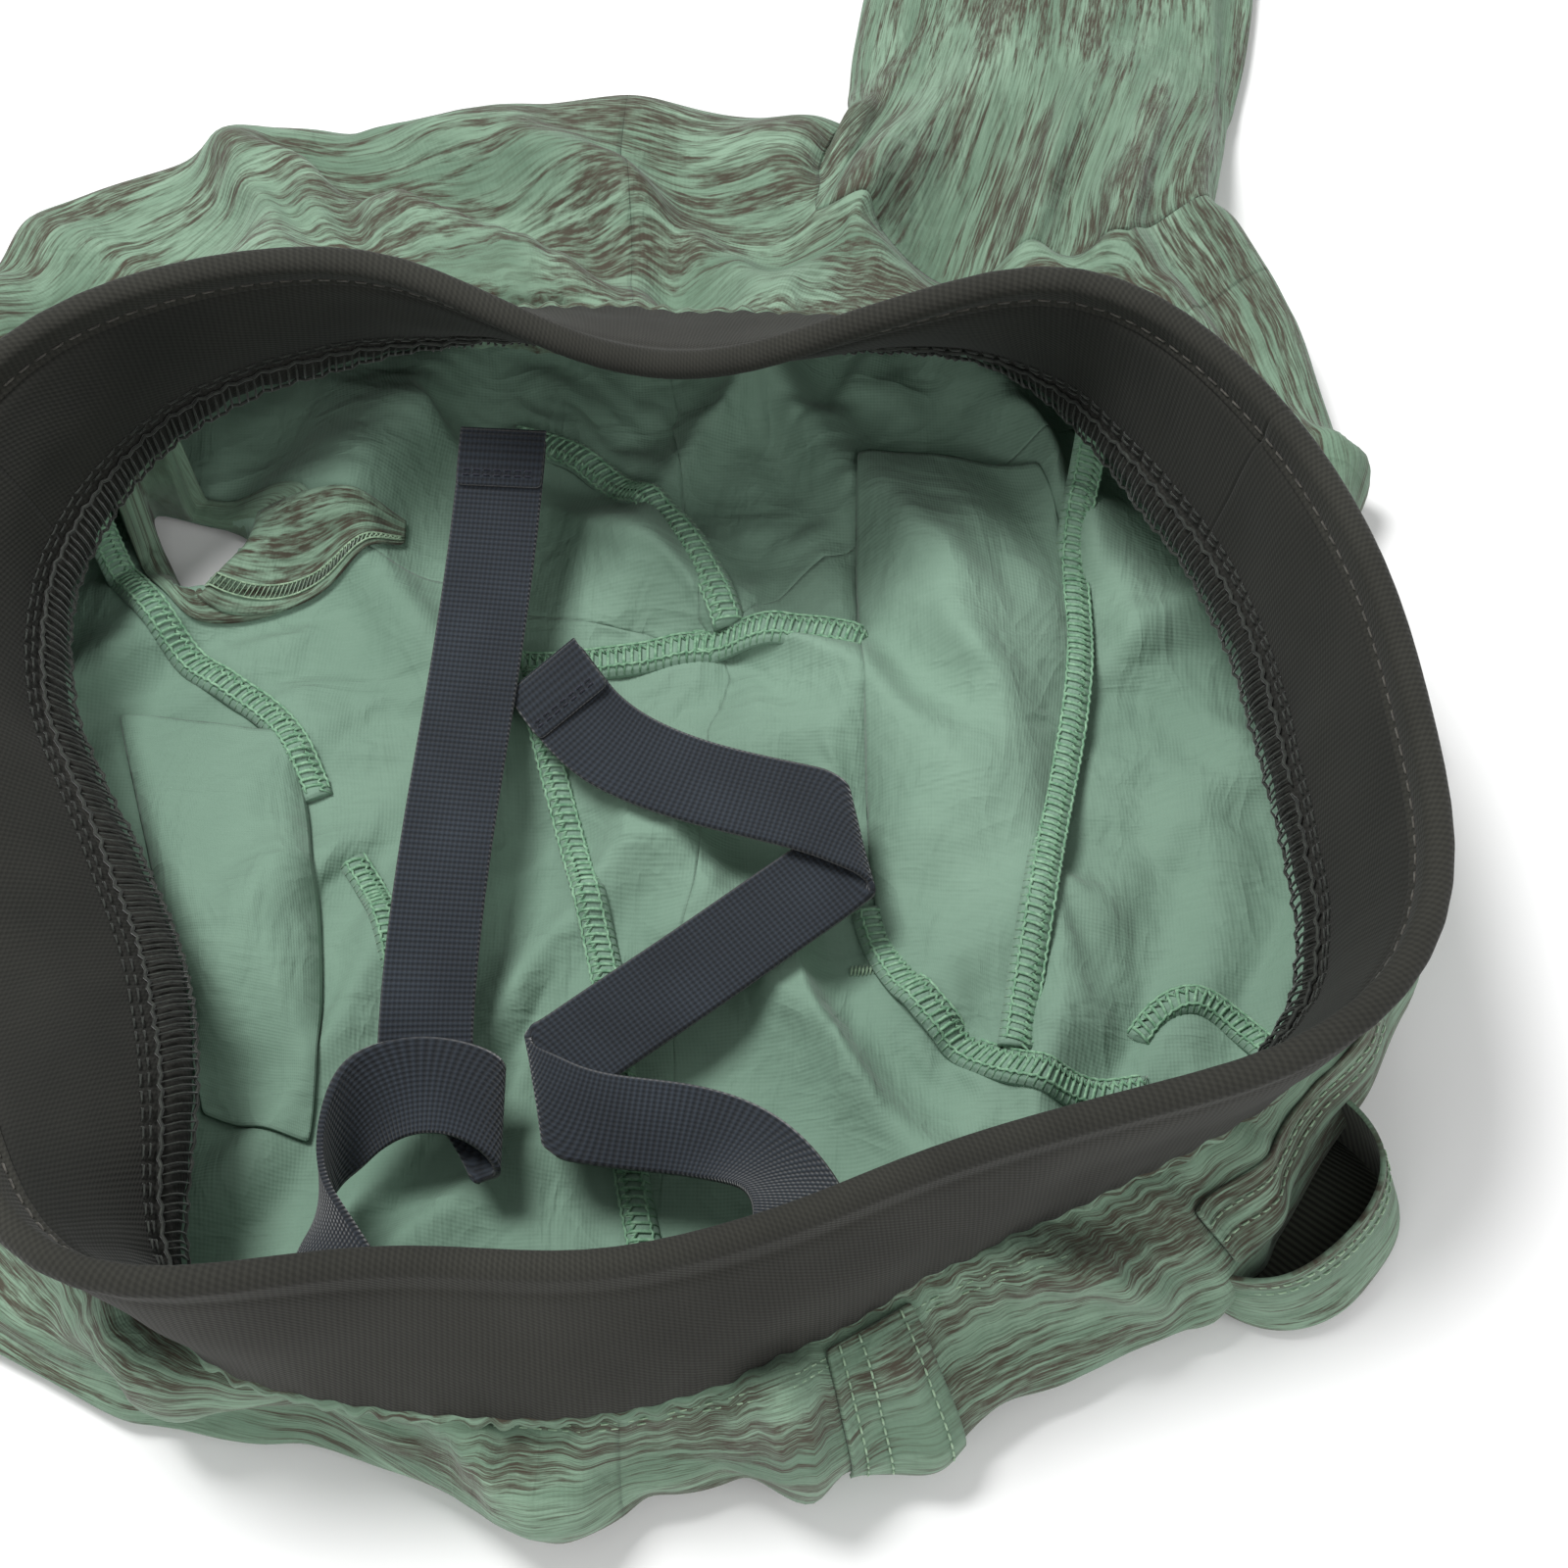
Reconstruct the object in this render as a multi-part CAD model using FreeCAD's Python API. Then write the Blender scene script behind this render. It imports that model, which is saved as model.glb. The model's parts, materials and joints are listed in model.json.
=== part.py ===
import FreeCAD, Part
import math
import os
from FreeCAD import Vector

# Pull-on shorts lying open on a flat surface, waist towards -Y, legs towards +Y.
# Left and right are the wearer's: +X is the wearer's left.  All sizes in millimetres.

# --- driving dimensions -------------------------------------------------------------------
CLOTH = 0.9            # woven shell with its crumpled thickness
KNIT = 1.1             # one layer of the knit waistband
BAND_HEIGHT = 46.0     # waist seam to rolled top edge
BAND_GAP = 3.6         # between the two knit layers, room for the edge elastic
ROLL_DEPTH = 6.0       # top edge to its topstitch, the elastic's tunnel
ELASTIC_D = 1.9        # round elastic in the rolled edge
SEAM_CORD_D = 2.6      # turned cloth inside the waist seam
SEAM_W = 6.5           # overlock seam width
SEAM_T = 1.6           # overlock seam height
STRAP_W = 19.0         # webbing width
STRAP_T = 1.3          # webbing thickness
TAB_LENGTH = 13.0      # folded and stitched end of a strap
LEG_LENGTH = 118.0     # left leg, from its root to its hem
LEG_HEIGHT = 34.0      # arch of the left leg above the surface
LEG_NARROWING = 0.3    # share of that height lost by the hem
LEG_GAP = 3.0          # slack cloth between the seat and the leg, where the leg folds
LEG_SILL = 1.6         # height of the sill under the leg's way into the seat
HEM_DEPTH = 15.0       # hem allowance turned inside
CLEARANCE = 0.5        # between pieces that move apart
LAP = 1.1              # free height under a seam, hem or strip that lies on the shell
TAB_GAP = 0.5          # between a strap and its folded end
PRESSED = 0.05         # cloth pressed flat where it lies on the surface
HEM_HOLE = (15.0, 13.0)       # half axes of the right leg's opening
HEM_HOLE_AT = (-133.0, 72.0)  # its centre
FLOOR_LIFT = 18.0      # height of the crotch above the surface
FLAT_SHARE = 0.28      # share of the way to the crotch that lies flat on the surface
CROTCH = (-14.0, 50.0)
UNDER_BAND = 1.4       # the shell starts this far under the waist seam's middle
BAND_SHADOW = 5.0      # and this much more where the band leans right out over it
CROTCH_GAP = 5.0       # the four panels stop this far from the crotch point, under the seams

# Waist seam, anticlockwise from the left side seam: x, y, z and the band's outward lean in degrees.
WAIST = [
    (70, 90, 37, 2), (46, 108, 41, -22), (14, 108, 46, -36), (-18, 106, 50, -50),
    (-48, 110, 48, -42), (-80, 112, 42, -22), (-109, 106, 38, -10), (-135, 94, 35, 0),
    (-151, 70, 33, 22), (-157, 40, 31, 34), (-150, 9, 30, 40), (-135, -17, 30, 58),
    (-121, -45, 31, 66), (-118, -76, 32, 55), (-117, -106, 34, 24), (-100, -123, 34, -4),
    (-68, -128, 36, -16), (-32, -129, 36, -15), (1, -119, 36, -12), (30, -100, 36, -3),
    (61, -87, 36, 2), (90, -71, 38, 12), (105, -46, 38, 20), (105, -12, 38, 20),
    (100, 24, 37, 20), (89, 59, 36, 14),
]
# Foot of the shell's wall under each of those stations: x, y.
FOOT = [
    (126, 121), (108, 166), (60, 174), (10, 184), (-36, 191), (-76, 181), (-122, 181),
    (-176, 184), (-214, 134), (-226, 74), (-222, 20), (-210, -30), (-193, -72), (-174, -100),
    (-148, -114), (-112, -128), (-74, -136), (-32, -147), (6, -138), (40, -124), (74, -114),
    (99, -92), (115, -54), (133, -14), (141, 32), (134, 80),
]
LEFT_SIDE, LEG_RIGHT_END, LEG_LEFT_END, BACK_CENTRE, RIGHT_SIDE, FRONT_CENTRE = 0, 1, 3, 4.5, 8, 17
STATIONS = len(WAIST)
JOIN_GAP = 0.02        # front and back halves of the band stop this many stations short of each other


def round_loop(table, station):
    """Smooth value between a table's entries, closed round the loop."""
    low = math.floor(station)
    s = station - low
    weights = (
        (-s + 2 * s**2 - s**3) / 2,
        (2 - 5 * s**2 + 3 * s**3) / 2,
        (s + 4 * s**2 - 3 * s**3) / 2,
        (s**3 - s**2) / 2,
    )
    rows = [table[(low + k) % STATIONS] for k in (-1, 0, 1, 2)]
    return [sum(w * row[i] for w, row in zip(weights, rows)) for i in range(len(rows[0]))]


def waist_at(station):
    return Vector(*round_loop(WAIST, station)[:3])


def foot_at(station):
    return Vector(*round_loop(FOOT, station))


def outward(station):
    """Level unit vector that points out of the waist loop."""
    step = 0.3
    along = waist_at(station + step) - waist_at(station - step)
    return Vector(along.y, -along.x, 0).normalize()


def band_frame(station):
    """Seam point, direction up the band, and the band's outward normal."""
    lean = math.radians(round_loop(WAIST, station)[3])
    out = outward(station)
    up = out * math.sin(lean) + Vector(0, 0, math.cos(lean))
    normal = out * math.cos(lean) - Vector(0, 0, math.sin(lean))
    return waist_at(station), up, normal


def spaced(first, last, per_station=2):
    count = max(3, round((last - first) * per_station))
    return [first + (last - first) * i / count for i in range(count + 1)]


# --- solids from grids of points ----------------------------------------------------------
def grid_normals(grid):
    rows, columns = len(grid), len(grid[0])
    normals = []
    for i in range(rows):
        line = []
        for j in range(columns):
            down = grid[min(i + 1, rows - 1)][j] - grid[max(i - 1, 0)][j]
            across = grid[i][min(j + 1, columns - 1)] - grid[i][max(j - 1, 0)]
            line.append(down.cross(across).normalize())
        normals.append(line)
    return normals


def clamped(count):
    """Degree, knots and multiplicities of a clamped uniform spline with that many poles."""
    degree = min(3, count - 1)
    inner = count - degree - 1
    return degree, [float(k) for k in range(inner + 2)], [degree + 1] + [1] * inner + [degree + 1]


def skin(grid):
    """Smooth surface that a grid of points steers."""
    u_degree, u_knots, u_mults = clamped(len(grid))
    v_degree, v_knots, v_mults = clamped(len(grid[0]))
    surface = Part.BSplineSurface()
    surface.buildFromPolesMultsKnots(
        grid, u_mults, v_mults, u_knots, v_knots, False, False, u_degree, v_degree
    )
    return surface


def sheet(grid, thickness):
    """Closed solid of that thickness about a grid of points, rows by columns."""
    normals = grid_normals(grid)
    sides = []
    for sign in (0.5, -0.5):
        sides.append([
            [p + n * (sign * thickness) for p, n in zip(row, line)]
            for row, line in zip(grid, normals)
        ])
    faces = [skin(side) for side in sides]
    for end in (0, -1):
        faces.append(skin([side[end] for side in sides]))
        faces.append(skin([[row[end] for row in side] for side in sides]))
    return closed([face.toShape() for face in faces])


def closed(faces):
    shell = Part.makeShell(faces)
    shell.sewShape()
    solid = Part.makeSolid(shell)
    if solid.Volume < 0:
        solid.reverse()
    return solid


def ribbon(sections, thickness):
    """Webbing through sections of (centre, half width vector, normal), one solid."""
    grid = []
    for centre, half, normal in sections:
        grid.append([centre - half, centre - half * 0.33, centre + half * 0.33, centre + half])
    return sheet(grid, thickness)


def bead(points, width, height):
    """Flat seam bead that follows points, oval across."""
    path = Part.BSplineCurve()
    path.interpolate(points)
    spine = Part.Wire([path.toShape()])
    along = path.tangent(path.FirstParameter)[0]
    side = Vector(0, 0, 1).cross(along).normalize()
    above = along.cross(side).normalize()
    oval = Part.Ellipse(points[0] + side * (width / 2), points[0] + above * (height / 2), points[0])
    return spine.makePipeShell([Part.Wire([oval.toShape()])], True, False)


# --- waistband ----------------------------------------------------------------------------
def band_rows(profile, stations):
    """Grid over stations of a profile in (height up the band, distance outwards)."""
    rows = []
    for height, out in profile:
        row = []
        for station in stations:
            seam, up, normal = band_frame(station)
            row.append(seam + up * height + normal * out)
        rows.append(row)
    return rows


def band_outer(first, last):
    """Outer knit layer, rolled over the top edge down to its topstitch."""
    half = (BAND_GAP + KNIT) / 2
    crown = BAND_HEIGHT - half
    profile = [(0.0, half), (crown * 0.3, half), (crown * 0.6, half), (crown - 4, half), (crown, half)]
    profile += [
        (crown + half * math.sin(math.radians(turn)), half * math.cos(math.radians(turn)))
        for turn in (45, 90, 135, 180)
    ]
    profile += [(BAND_HEIGHT - ROLL_DEPTH + 2, -half), (BAND_HEIGHT - ROLL_DEPTH, -half)]
    return sheet(band_rows(profile, spaced(first, last, 3)), KNIT)


def band_inner(first, last):
    """Inner knit facing, from the topstitch down to the waist seam."""
    out = -(BAND_GAP + KNIT) / 2
    top = BAND_HEIGHT - ROLL_DEPTH - CLEARANCE
    profile = [(top * share, out) for share in (1.0, 0.75, 0.5, 0.25, 0.1)]
    return sheet(band_rows(profile, spaced(first, last, 3)), KNIT)


def ring_bead(height, diameter):
    """Round cord all round the waist inside the band, at a height up the band."""
    around = 8
    radius = diameter / 2 * 6 / (4 + 2 * math.cos(2 * math.pi / around))
    poles = []
    for k in range(3 * STATIONS):
        seam, up, normal = band_frame(k / 3)
        turns = [2 * math.pi * n / around for n in range(around)]
        poles.append([
            seam + up * (height + radius * math.sin(turn)) + normal * (radius * math.cos(turn))
            for turn in turns
        ])
    knots = [float(k) for k in range(len(poles) + 1)]
    turns = [float(k) for k in range(around + 1)]
    torus = Part.BSplineSurface()
    torus.buildFromPolesMultsKnots(
        poles, [1] * len(knots), [1] * len(turns), knots, turns, True, True, 3, 3
    )
    return Part.makeSolid(Part.makeShell([torus.toShape()]))


# --- shell --------------------------------------------------------------------------------
def wall_point(station, turn, proud=0.0):
    """Point of the wall, from the waist seam at turn 0 to its foot at turn 90 degrees."""
    seam, foot = waist_at(station), foot_at(station)
    angle = math.radians(turn)
    reach = foot - Vector(seam.x, seam.y, 0)
    flat = Vector(seam.x, seam.y, 0) + reach * math.sin(angle)
    low = CLOTH / 2
    lean = math.radians(round_loop(WAIST, station)[3])
    top = seam.z - UNDER_BAND - BAND_SHADOW * max(0.0, math.sin(lean))
    spot = Vector(flat.x, flat.y, low + (top - low) * math.cos(angle))
    return spot + (reach.normalize() * math.sin(angle) + Vector(0, 0, math.cos(angle))) * proud


def floor_lift(share):
    """Height of the inner floor from the foot, share 0, to the crotch, share 1."""
    risen = max(0.0, share - FLAT_SHARE) / (1 - FLAT_SHARE)
    return CLOTH / 2 + (FLOOR_LIFT - CLOTH) * math.sin(math.pi / 2 * risen) ** 1.2


def floor_point(station, share):
    """Point of the shell inside the waist loop, from the foot towards the crotch."""
    crotch = Vector(*CROTCH)
    reach = foot_at(station) - crotch
    outer, inner = reach.Length - 4 * CLOTH, CROTCH_GAP
    spot = crotch + reach.normalize() * (outer + (inner - outer) * share)
    return Vector(spot.x, spot.y, floor_lift(share))


def panel(first, last):
    """One shell panel: its wall, the turn at its foot, and its floor to the crotch."""
    stations = spaced(first, last, 2)
    rows = [[wall_point(s, turn) for s in stations] for turn in (0, 18, 36, 54, 72, 90)]
    shares = (0, FLAT_SHARE / 3, FLAT_SHARE * 2 / 3, FLAT_SHARE, 0.45, 0.65, 0.85, 1)
    rows += [[floor_point(s, share) for s in stations] for share in shares]
    return pressed(sheet(rows, CLOTH))


def pressed(solid):
    """The solid with its underside pressed flat on the surface."""
    box = solid.BoundBox
    corner = Vector(box.XMin - 1, box.YMin - 1, -5)
    return solid.cut(Part.makeBox(box.XLength + 2, box.YLength + 2, 5 + PRESSED, corner))


def floor_height(x, y):
    """Height of the shell's inner floor under a point inside the waist loop."""
    crotch = Vector(*CROTCH)
    away = Vector(x, y) - crotch
    reaches = [foot_at(k / 4) - crotch for k in range(4 * STATIONS)]
    reach = max(reaches, key=lambda foot: foot.dot(away) / foot.Length)
    outer = reach.Length - 4 * CLOTH
    share = (outer - away.Length) / (outer - CROTCH_GAP)
    return floor_lift(max(0.0, min(1.0, share)))


def on_floor(outline, lift):
    return [Vector(x, y, floor_height(x, y) + lift) for x, y in outline]


def wall_strip(stations, turns, proud):
    """Strip of cloth that lies on the outside of the wall."""
    return sheet([[wall_point(s, turn, proud) for s in stations] for turn in turns], CLOTH)


# --- legs ---------------------------------------------------------------------------------
def leg_axes():
    """Middle of the left leg's root, half of its width, and the way the leg points."""
    right, left = foot_at(LEG_RIGHT_END), foot_at(LEG_LEFT_END)
    half = (right - left) * 0.5
    along = Vector(-half.y, half.x, 0).normalize()
    return (right + left) * 0.5, half, along


def leg_point(turn, share, layer):
    """Point of the left leg's arch: turn 0 at its right edge, 180 at its left."""
    root, half, along = leg_axes()
    angle = math.radians(turn)
    width = 1 + 0.05 * math.sin(math.pi * share)
    height = (LEG_HEIGHT - CLOTH) * (1 - LEG_NARROWING * share) - layer
    start = root + along * (LEG_GAP + LEG_LENGTH * share)
    spot = start + half * (math.cos(angle) * (width - layer / half.Length))
    return Vector(spot.x, spot.y, 1.6 * CLOTH + height * math.sin(angle))


LEG_TURNS = range(0, 181, 15)


def leg_upper():
    return sheet([[leg_point(turn, share / 4, 0) for turn in LEG_TURNS] for share in range(5)], CLOTH)


def leg_lower():
    """Flat lower half of the leg, between the arch's two edges."""
    rows = []
    for share in (0, 0.25, 0.5, 0.75, 1):
        right, left = leg_point(0, share, 0), leg_point(180, share, 0)
        row = [right + (left - right) * k / 6 for k in range(7)]
        rows.append([Vector(p.x, p.y, CLOTH / 2) for p in row])
    return sheet(rows, CLOTH)


def leg_hem():
    """Hem allowance turned inside the left leg's opening, against its upper half."""
    inner = 1 - HEM_DEPTH / LEG_LENGTH
    turns = range(15, 166, 15)
    shares = [inner + (1 - inner) * k / 3 for k in range(4)]
    return sheet([[leg_point(turn, share, CLOTH + LAP) for turn in turns] for share in shares], CLOTH)


def leg_tunnel():
    """Where the left leg opens into the seat: an arch through the wall."""
    root, half, along = leg_axes()
    oval = Part.Ellipse(Vector(half.Length, 0, 0), Vector(0, LEG_HEIGHT - CLOTH, 0), Vector(0, 0, 0))
    face = Part.Face(Part.Wire([oval.toShape()]))
    arch = face.extrude(Vector(0, 0, 60))
    turned = FreeCAD.Rotation(half, Vector(0, 0, 1), along * -1, "XYZ")
    arch.Placement = FreeCAD.Placement(root + along * 30, turned)
    box = arch.BoundBox
    above = Part.makeBox(box.XLength, box.YLength, 60, Vector(box.XMin, box.YMin, LEG_SILL))
    return arch.common(above)


def leg_hole():
    """The right leg is folded under the seat: only its hem opening shows, in the floor."""
    oval = Part.Ellipse(Vector(HEM_HOLE[0], 0, 0), Vector(0, HEM_HOLE[1], 0), Vector(0, 0, 0))
    face = Part.Face(Part.Wire([oval.toShape()]))
    face.translate(Vector(*HEM_HOLE_AT, -5))
    return face.extrude(Vector(0, 0, 40))


def right_hem():
    """Hem allowance round the right leg's opening, on the floor."""
    rows = []
    for step in (1.0, 6.0, 11.0, HEM_DEPTH + 1.0):
        outline = []
        for turn in range(-150, 151, 25):
            angle = math.radians(turn)
            x = HEM_HOLE_AT[0] + (HEM_HOLE[0] + step) * math.cos(angle)
            y = HEM_HOLE_AT[1] + (HEM_HOLE[1] + step) * math.sin(angle)
            outline.append((x, y))
        rows.append(on_floor(outline, CLOTH + LAP))
    return sheet(rows, CLOTH)


# --- pockets and trim ---------------------------------------------------------------------
# Rows of plan points across each pocket bag, waist to bottom edge, with the height above the floor.
LEFT_BAG = [
    [(22, 84, 6), (42, 84, 7), (62, 78, 8)],
    [(20, 50, 4), (43, 48, 5), (66, 42, 6)],
    [(20, 8, 3), (44, 2, 5), (68, -4, 5)],
    [(21, -26, 3), (46, -44, 4), (70, -50, 4)],
]
RIGHT_BAG = [
    [(-146, 34, 4), (-128, 32, 4), (-110, 28, 4)],
    [(-134, 0, 3), (-118, -2, 4), (-102, -4, 4)],
    [(-120, -40, 3), (-108, -40, 4), (-96, -40, 4)],
    [(-112, -84, 3), (-102, -86, 3.5), (-92, -86, 4)],
]
# Overlocked seams on the inner floor, as plan points.
RISE_FRONT_SEAM = [(-27, -104), (-32, -70), (-37, -34), (-46, 6), (-34, 34), (-18, 48)]
RISE_BACK_SEAM = [(-12, 56), (-22, 72), (-42, 92), (-62, 106)]
LEFT_INSEAM = [(-8, 51), (8, 50), (15, 49)]
RIGHT_INSEAM = [(-58, 42), (-44, 46), (-27, 50)]
RIGHT_SIDE_SEAM = [(-176, 58), (-162, 50), (-152, 44), (-144, 40)]
LEFT_SIDE_SEAM = [(72, 74, 8), (70, 44, 8), (72, 6, 7), (73, -30, 6)]
# The left hip pocket gapes: its outer layer stands off the wall on this plan outline.
GAPING_LAYER = [(96, -106), (110, -100), (122, -86), (127, -70), (123, -52)]
GAPING_LOW, GAPING_HIGH = 3.0, 27.0
GAPING_LEAN = (-5.0, 3.0)


def pocket_bag(rows):
    grid = [[Vector(x, y, floor_height(x, y) + lift) for x, y, lift in row] for row in rows]
    return sheet(grid, 2 * CLOTH)


def floor_seam(outline, lift=CLOTH / 2 + LAP + SEAM_T / 2):
    return bead(on_floor(outline, lift), SEAM_W, SEAM_T)


def bag_edge_seam(points):
    """Overlocked edge that lies on top of the left pocket bag."""
    return bead([Vector(x, y, floor_height(x, y) + lift) for x, y, lift in points], SEAM_W, SEAM_T)


def pocket_layer():
    grid = []
    for share in (0, 0.33, 0.66, 1):
        dx, dy = GAPING_LEAN[0] * share, GAPING_LEAN[1] * share
        height = GAPING_LOW + (GAPING_HIGH - GAPING_LOW) * share
        grid.append([Vector(x + dx, y + dy, height) for x, y in GAPING_LAYER])
    return sheet(grid, CLOTH)


# --- straps -------------------------------------------------------------------------------
# The folded webbing, section by section: centre, half width direction, face normal.
RIGHT_STRAP = [
    ((-62, 90, 31), (1, 0, 0)), ((-63, 70, 27), (1, 0, 0)), ((-66, 34, 23), (1, 0, 0)),
    ((-70, -4, 22), (1, 0, 0)), ((-72, -36, 20), (1, -0.05, 0)), ((-72, -56, 18), (0.95, -0.3, 0)),
    ((-70, -66, 17), (0.7, -0.7, 0)), ((-64, -70, 17.5), (0.3, -0.95, 0)), ((-58, -70, 18.5), (0, -1, 0)),
    ((-54.5, -68.5, 21.5), (0, -1, 0)), ((-57, -66, 25.5), (0, -1, 0)), ((-64, -63, 27), (0, -1, 0)),
    ((-74, -62, 26.5), (0.1, -1, -0.3)), ((-84, -66, 24), (0.2, -0.8, -0.8)),
    ((-89, -76, 23), (0.1, -0.2, -1)), ((-89, -87, 26), (-0.2, 0, -1)), ((-86, -98, 32), (-0.7, 0, -0.8)),
    ((-82, -108, 39), (-0.9, 0, -0.4)),
]
LEFT_STRAP = [
    ((-51, 34, 23), (0.35, 0.85, 0.3)), ((-47, 28, 23), (0.35, 0.85, 0.3)), ((-43, 22, 22.8), (0.33, 0.86, 0.25)),
    ((-34, 14, 22.5), (0.25, 0.95, 0.1)),
    ((-18, 7, 22.5), (0.1, 1, 0)), ((0, 2, 23.5), (0.05, 1, 0)), ((12, -3, 26), (-0.1, 1, 0)),
    ((17.5, -7, 24), (-0.2, 1, 0)), ((13, -11, 20.5), (-0.4, 0.9, 0)), ((0, -20, 19), (-0.5, 0.85, 0)),
    ((-18, -34, 18.5), (-0.5, 0.85, 0)), ((-36, -47, 18), (-0.5, 0.85, 0)), ((-46, -55, 18), (-0.4, 0.9, 0)),
    ((-50.5, -60, 20), (-0.2, 1, 0)), ((-47, -65, 22.8), (-0.1, 1, 0)), ((-36, -69, 23), (0, 1, 0)),
    ((-20, -70, 23), (0.15, 1, 0)), ((-7, -74, 24), (0.5, 0.8, -0.2)), ((1, -82, 28), (0.8, 0.4, -0.5)),
    ((4, -92, 35), (0.9, 0.2, -0.4)), ((3, -101, 42), (0.9, 0.3, -0.1)),
]
RIGHT_ANCHOR, LEFT_ANCHOR = 15.7, 18.1   # stations where the straps are sewn to the facing
ANCHOR_HEIGHT = 15.0                     # that far above the waist seam
ANCHOR_T = 1.2                           # lockstitch thread between strap and facing
ANCHOR_GAPS = (1.1, 1.4)                 # facing to thread, and thread to strap
SEWN_HALF = 4.5                          # half the stretch of strap that lies flat on the facing



def anchor_frame(station):
    """Point on the facing's inner face, along the band, and out of the cavity."""
    seam, up, normal = band_frame(station)
    face = seam + up * ANCHOR_HEIGHT - normal * (BAND_GAP / 2 + KNIT)
    return face, normal.cross(up).normalize(), normal


def sewn_point(station, share):
    """Middle of the strap on the facing; share runs from -1, lower end, to 1, upper end."""
    face, along, normal = anchor_frame(station)
    up = along.cross(normal)
    up = up if up.z > 0 else up * -1
    return face + up * (SEWN_HALF * share) - normal * (sum(ANCHOR_GAPS) + ANCHOR_T + STRAP_T / 2)


def strap_route(route, station, way):
    """Folded route with its last sections, sewn flat against the facing."""
    along = anchor_frame(station)[1] * way
    ends = [(tuple(sewn_point(station, share)), tuple(along)) for share in (-1, 0, 1)]
    return route + ends


def strap_sections(route):
    centres = [Vector(*centre) for centre, _ in route]
    sections = []
    for k, (_, half) in enumerate(route):
        along = centres[min(k + 1, len(route) - 1)] - centres[max(k - 1, 0)]
        along.normalize()
        across = Vector(*half)
        across = (across - along * across.dot(along)).normalize()
        sections.append((centres[k], across * (STRAP_W / 2), along.cross(across)))
    return sections


def strap_tab(route):
    """The strap's own end, folded back on top of its first stretch."""
    first, second = strap_sections(route)[:2]
    along = (second[0] - first[0]).normalize()
    normal = first[2] if first[2].z > 0 else first[2] * -1
    half = first[1] * 0.94
    tab = []
    for share in (0, 0.33, 0.66, 1):
        tab.append((first[0] + along * (TAB_LENGTH * share) + normal * (STRAP_T + TAB_GAP), half, normal))
    return ribbon(tab, STRAP_T)


def strap_anchor(station):
    """Block of lockstitch thread that sews the strap's end to the waist facing."""
    face, along, normal = anchor_frame(station)
    half = along * (STRAP_W * 0.35)
    middle = face - normal * (ANCHOR_GAPS[0] + ANCHOR_T / 2)
    up = along.cross(normal)
    rows = [[middle + up * h + half * w for w in (-1, -0.33, 0.33, 1)] for h in (-2.5, -0.8, 0.8, 2.5)]
    return sheet(rows, ANCHOR_T)


# --- assembly -----------------------------------------------------------------------------
def build():
    tunnel = leg_tunnel()
    right_strap = strap_route(RIGHT_STRAP, RIGHT_ANCHOR, 1)
    left_strap = strap_route(LEFT_STRAP, LEFT_ANCHOR, -1)
    lip_stations = [20.6, 21.0, 21.4, 21.8, 22.2]
    return {
        "waistband_back": band_outer(LEFT_SIDE + JOIN_GAP, RIGHT_SIDE - JOIN_GAP),
        "waistband_front": band_outer(RIGHT_SIDE + JOIN_GAP, STATIONS - JOIN_GAP),
        "waist_facing_back": band_inner(LEFT_SIDE + JOIN_GAP, RIGHT_SIDE - JOIN_GAP),
        "waist_facing_front": band_inner(RIGHT_SIDE + JOIN_GAP, STATIONS - JOIN_GAP),
        "waist_elastic": ring_bead(BAND_HEIGHT - (BAND_GAP + KNIT) / 2, ELASTIC_D),
        "waist_seam": ring_bead(SEAM_CORD_D / 2, SEAM_CORD_D),
        "back_left_panel": panel(LEFT_SIDE, BACK_CENTRE).cut(tunnel),
        "back_right_panel": panel(BACK_CENTRE, RIGHT_SIDE).cut(leg_hole()),
        "front_right_panel": panel(RIGHT_SIDE, FRONT_CENTRE).cut(leg_hole()),
        "front_left_panel": panel(FRONT_CENTRE, STATIONS),
        "rise_front_seam": floor_seam(RISE_FRONT_SEAM),
        "rise_back_seam": floor_seam(RISE_BACK_SEAM),
        "left_inseam": floor_seam(LEFT_INSEAM),
        "right_inseam": floor_seam(RIGHT_INSEAM),
        "right_side_seam": floor_seam(RIGHT_SIDE_SEAM, 3.6),
        "left_side_seam": bag_edge_seam(LEFT_SIDE_SEAM),
        "left_pocket_bag": pocket_bag(LEFT_BAG),
        "right_pocket_bag": pocket_bag(RIGHT_BAG),
        "left_pocket_layer": pocket_layer(),
        "left_pocket_lip": wall_strip(lip_stations, (14, 22, 30, 38), CLOTH + LAP),
        "front_pocket_edge": wall_strip([18.2, 18.4, 18.6, 18.8], (12, 30, 48, 66), CLOTH + LAP),
        "left_leg_front": leg_upper(),
        "left_leg_back": leg_lower(),
        "left_leg_hem": leg_hem(),
        "right_leg_hem": right_hem(),
        "right_strap": ribbon(strap_sections(right_strap), STRAP_T),
        "left_strap": ribbon(strap_sections(left_strap), STRAP_T),
        "right_strap_tab": strap_tab(right_strap),
        "left_strap_tab": strap_tab(left_strap),
        "right_strap_anchor": strap_anchor(RIGHT_ANCHOR),
        "left_strap_anchor": strap_anchor(LEFT_ANCHOR),
    }


def extent(pieces):
    """Tight box round all pieces, from their faceted surfaces."""
    spots = [p for shape in pieces.values() for p in shape.tessellate(0.2)[0]]
    low = [min(p[i] for p in spots) for i in range(3)]
    high = [max(p[i] for p in spots) for i in range(3)]
    return low, high


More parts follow.
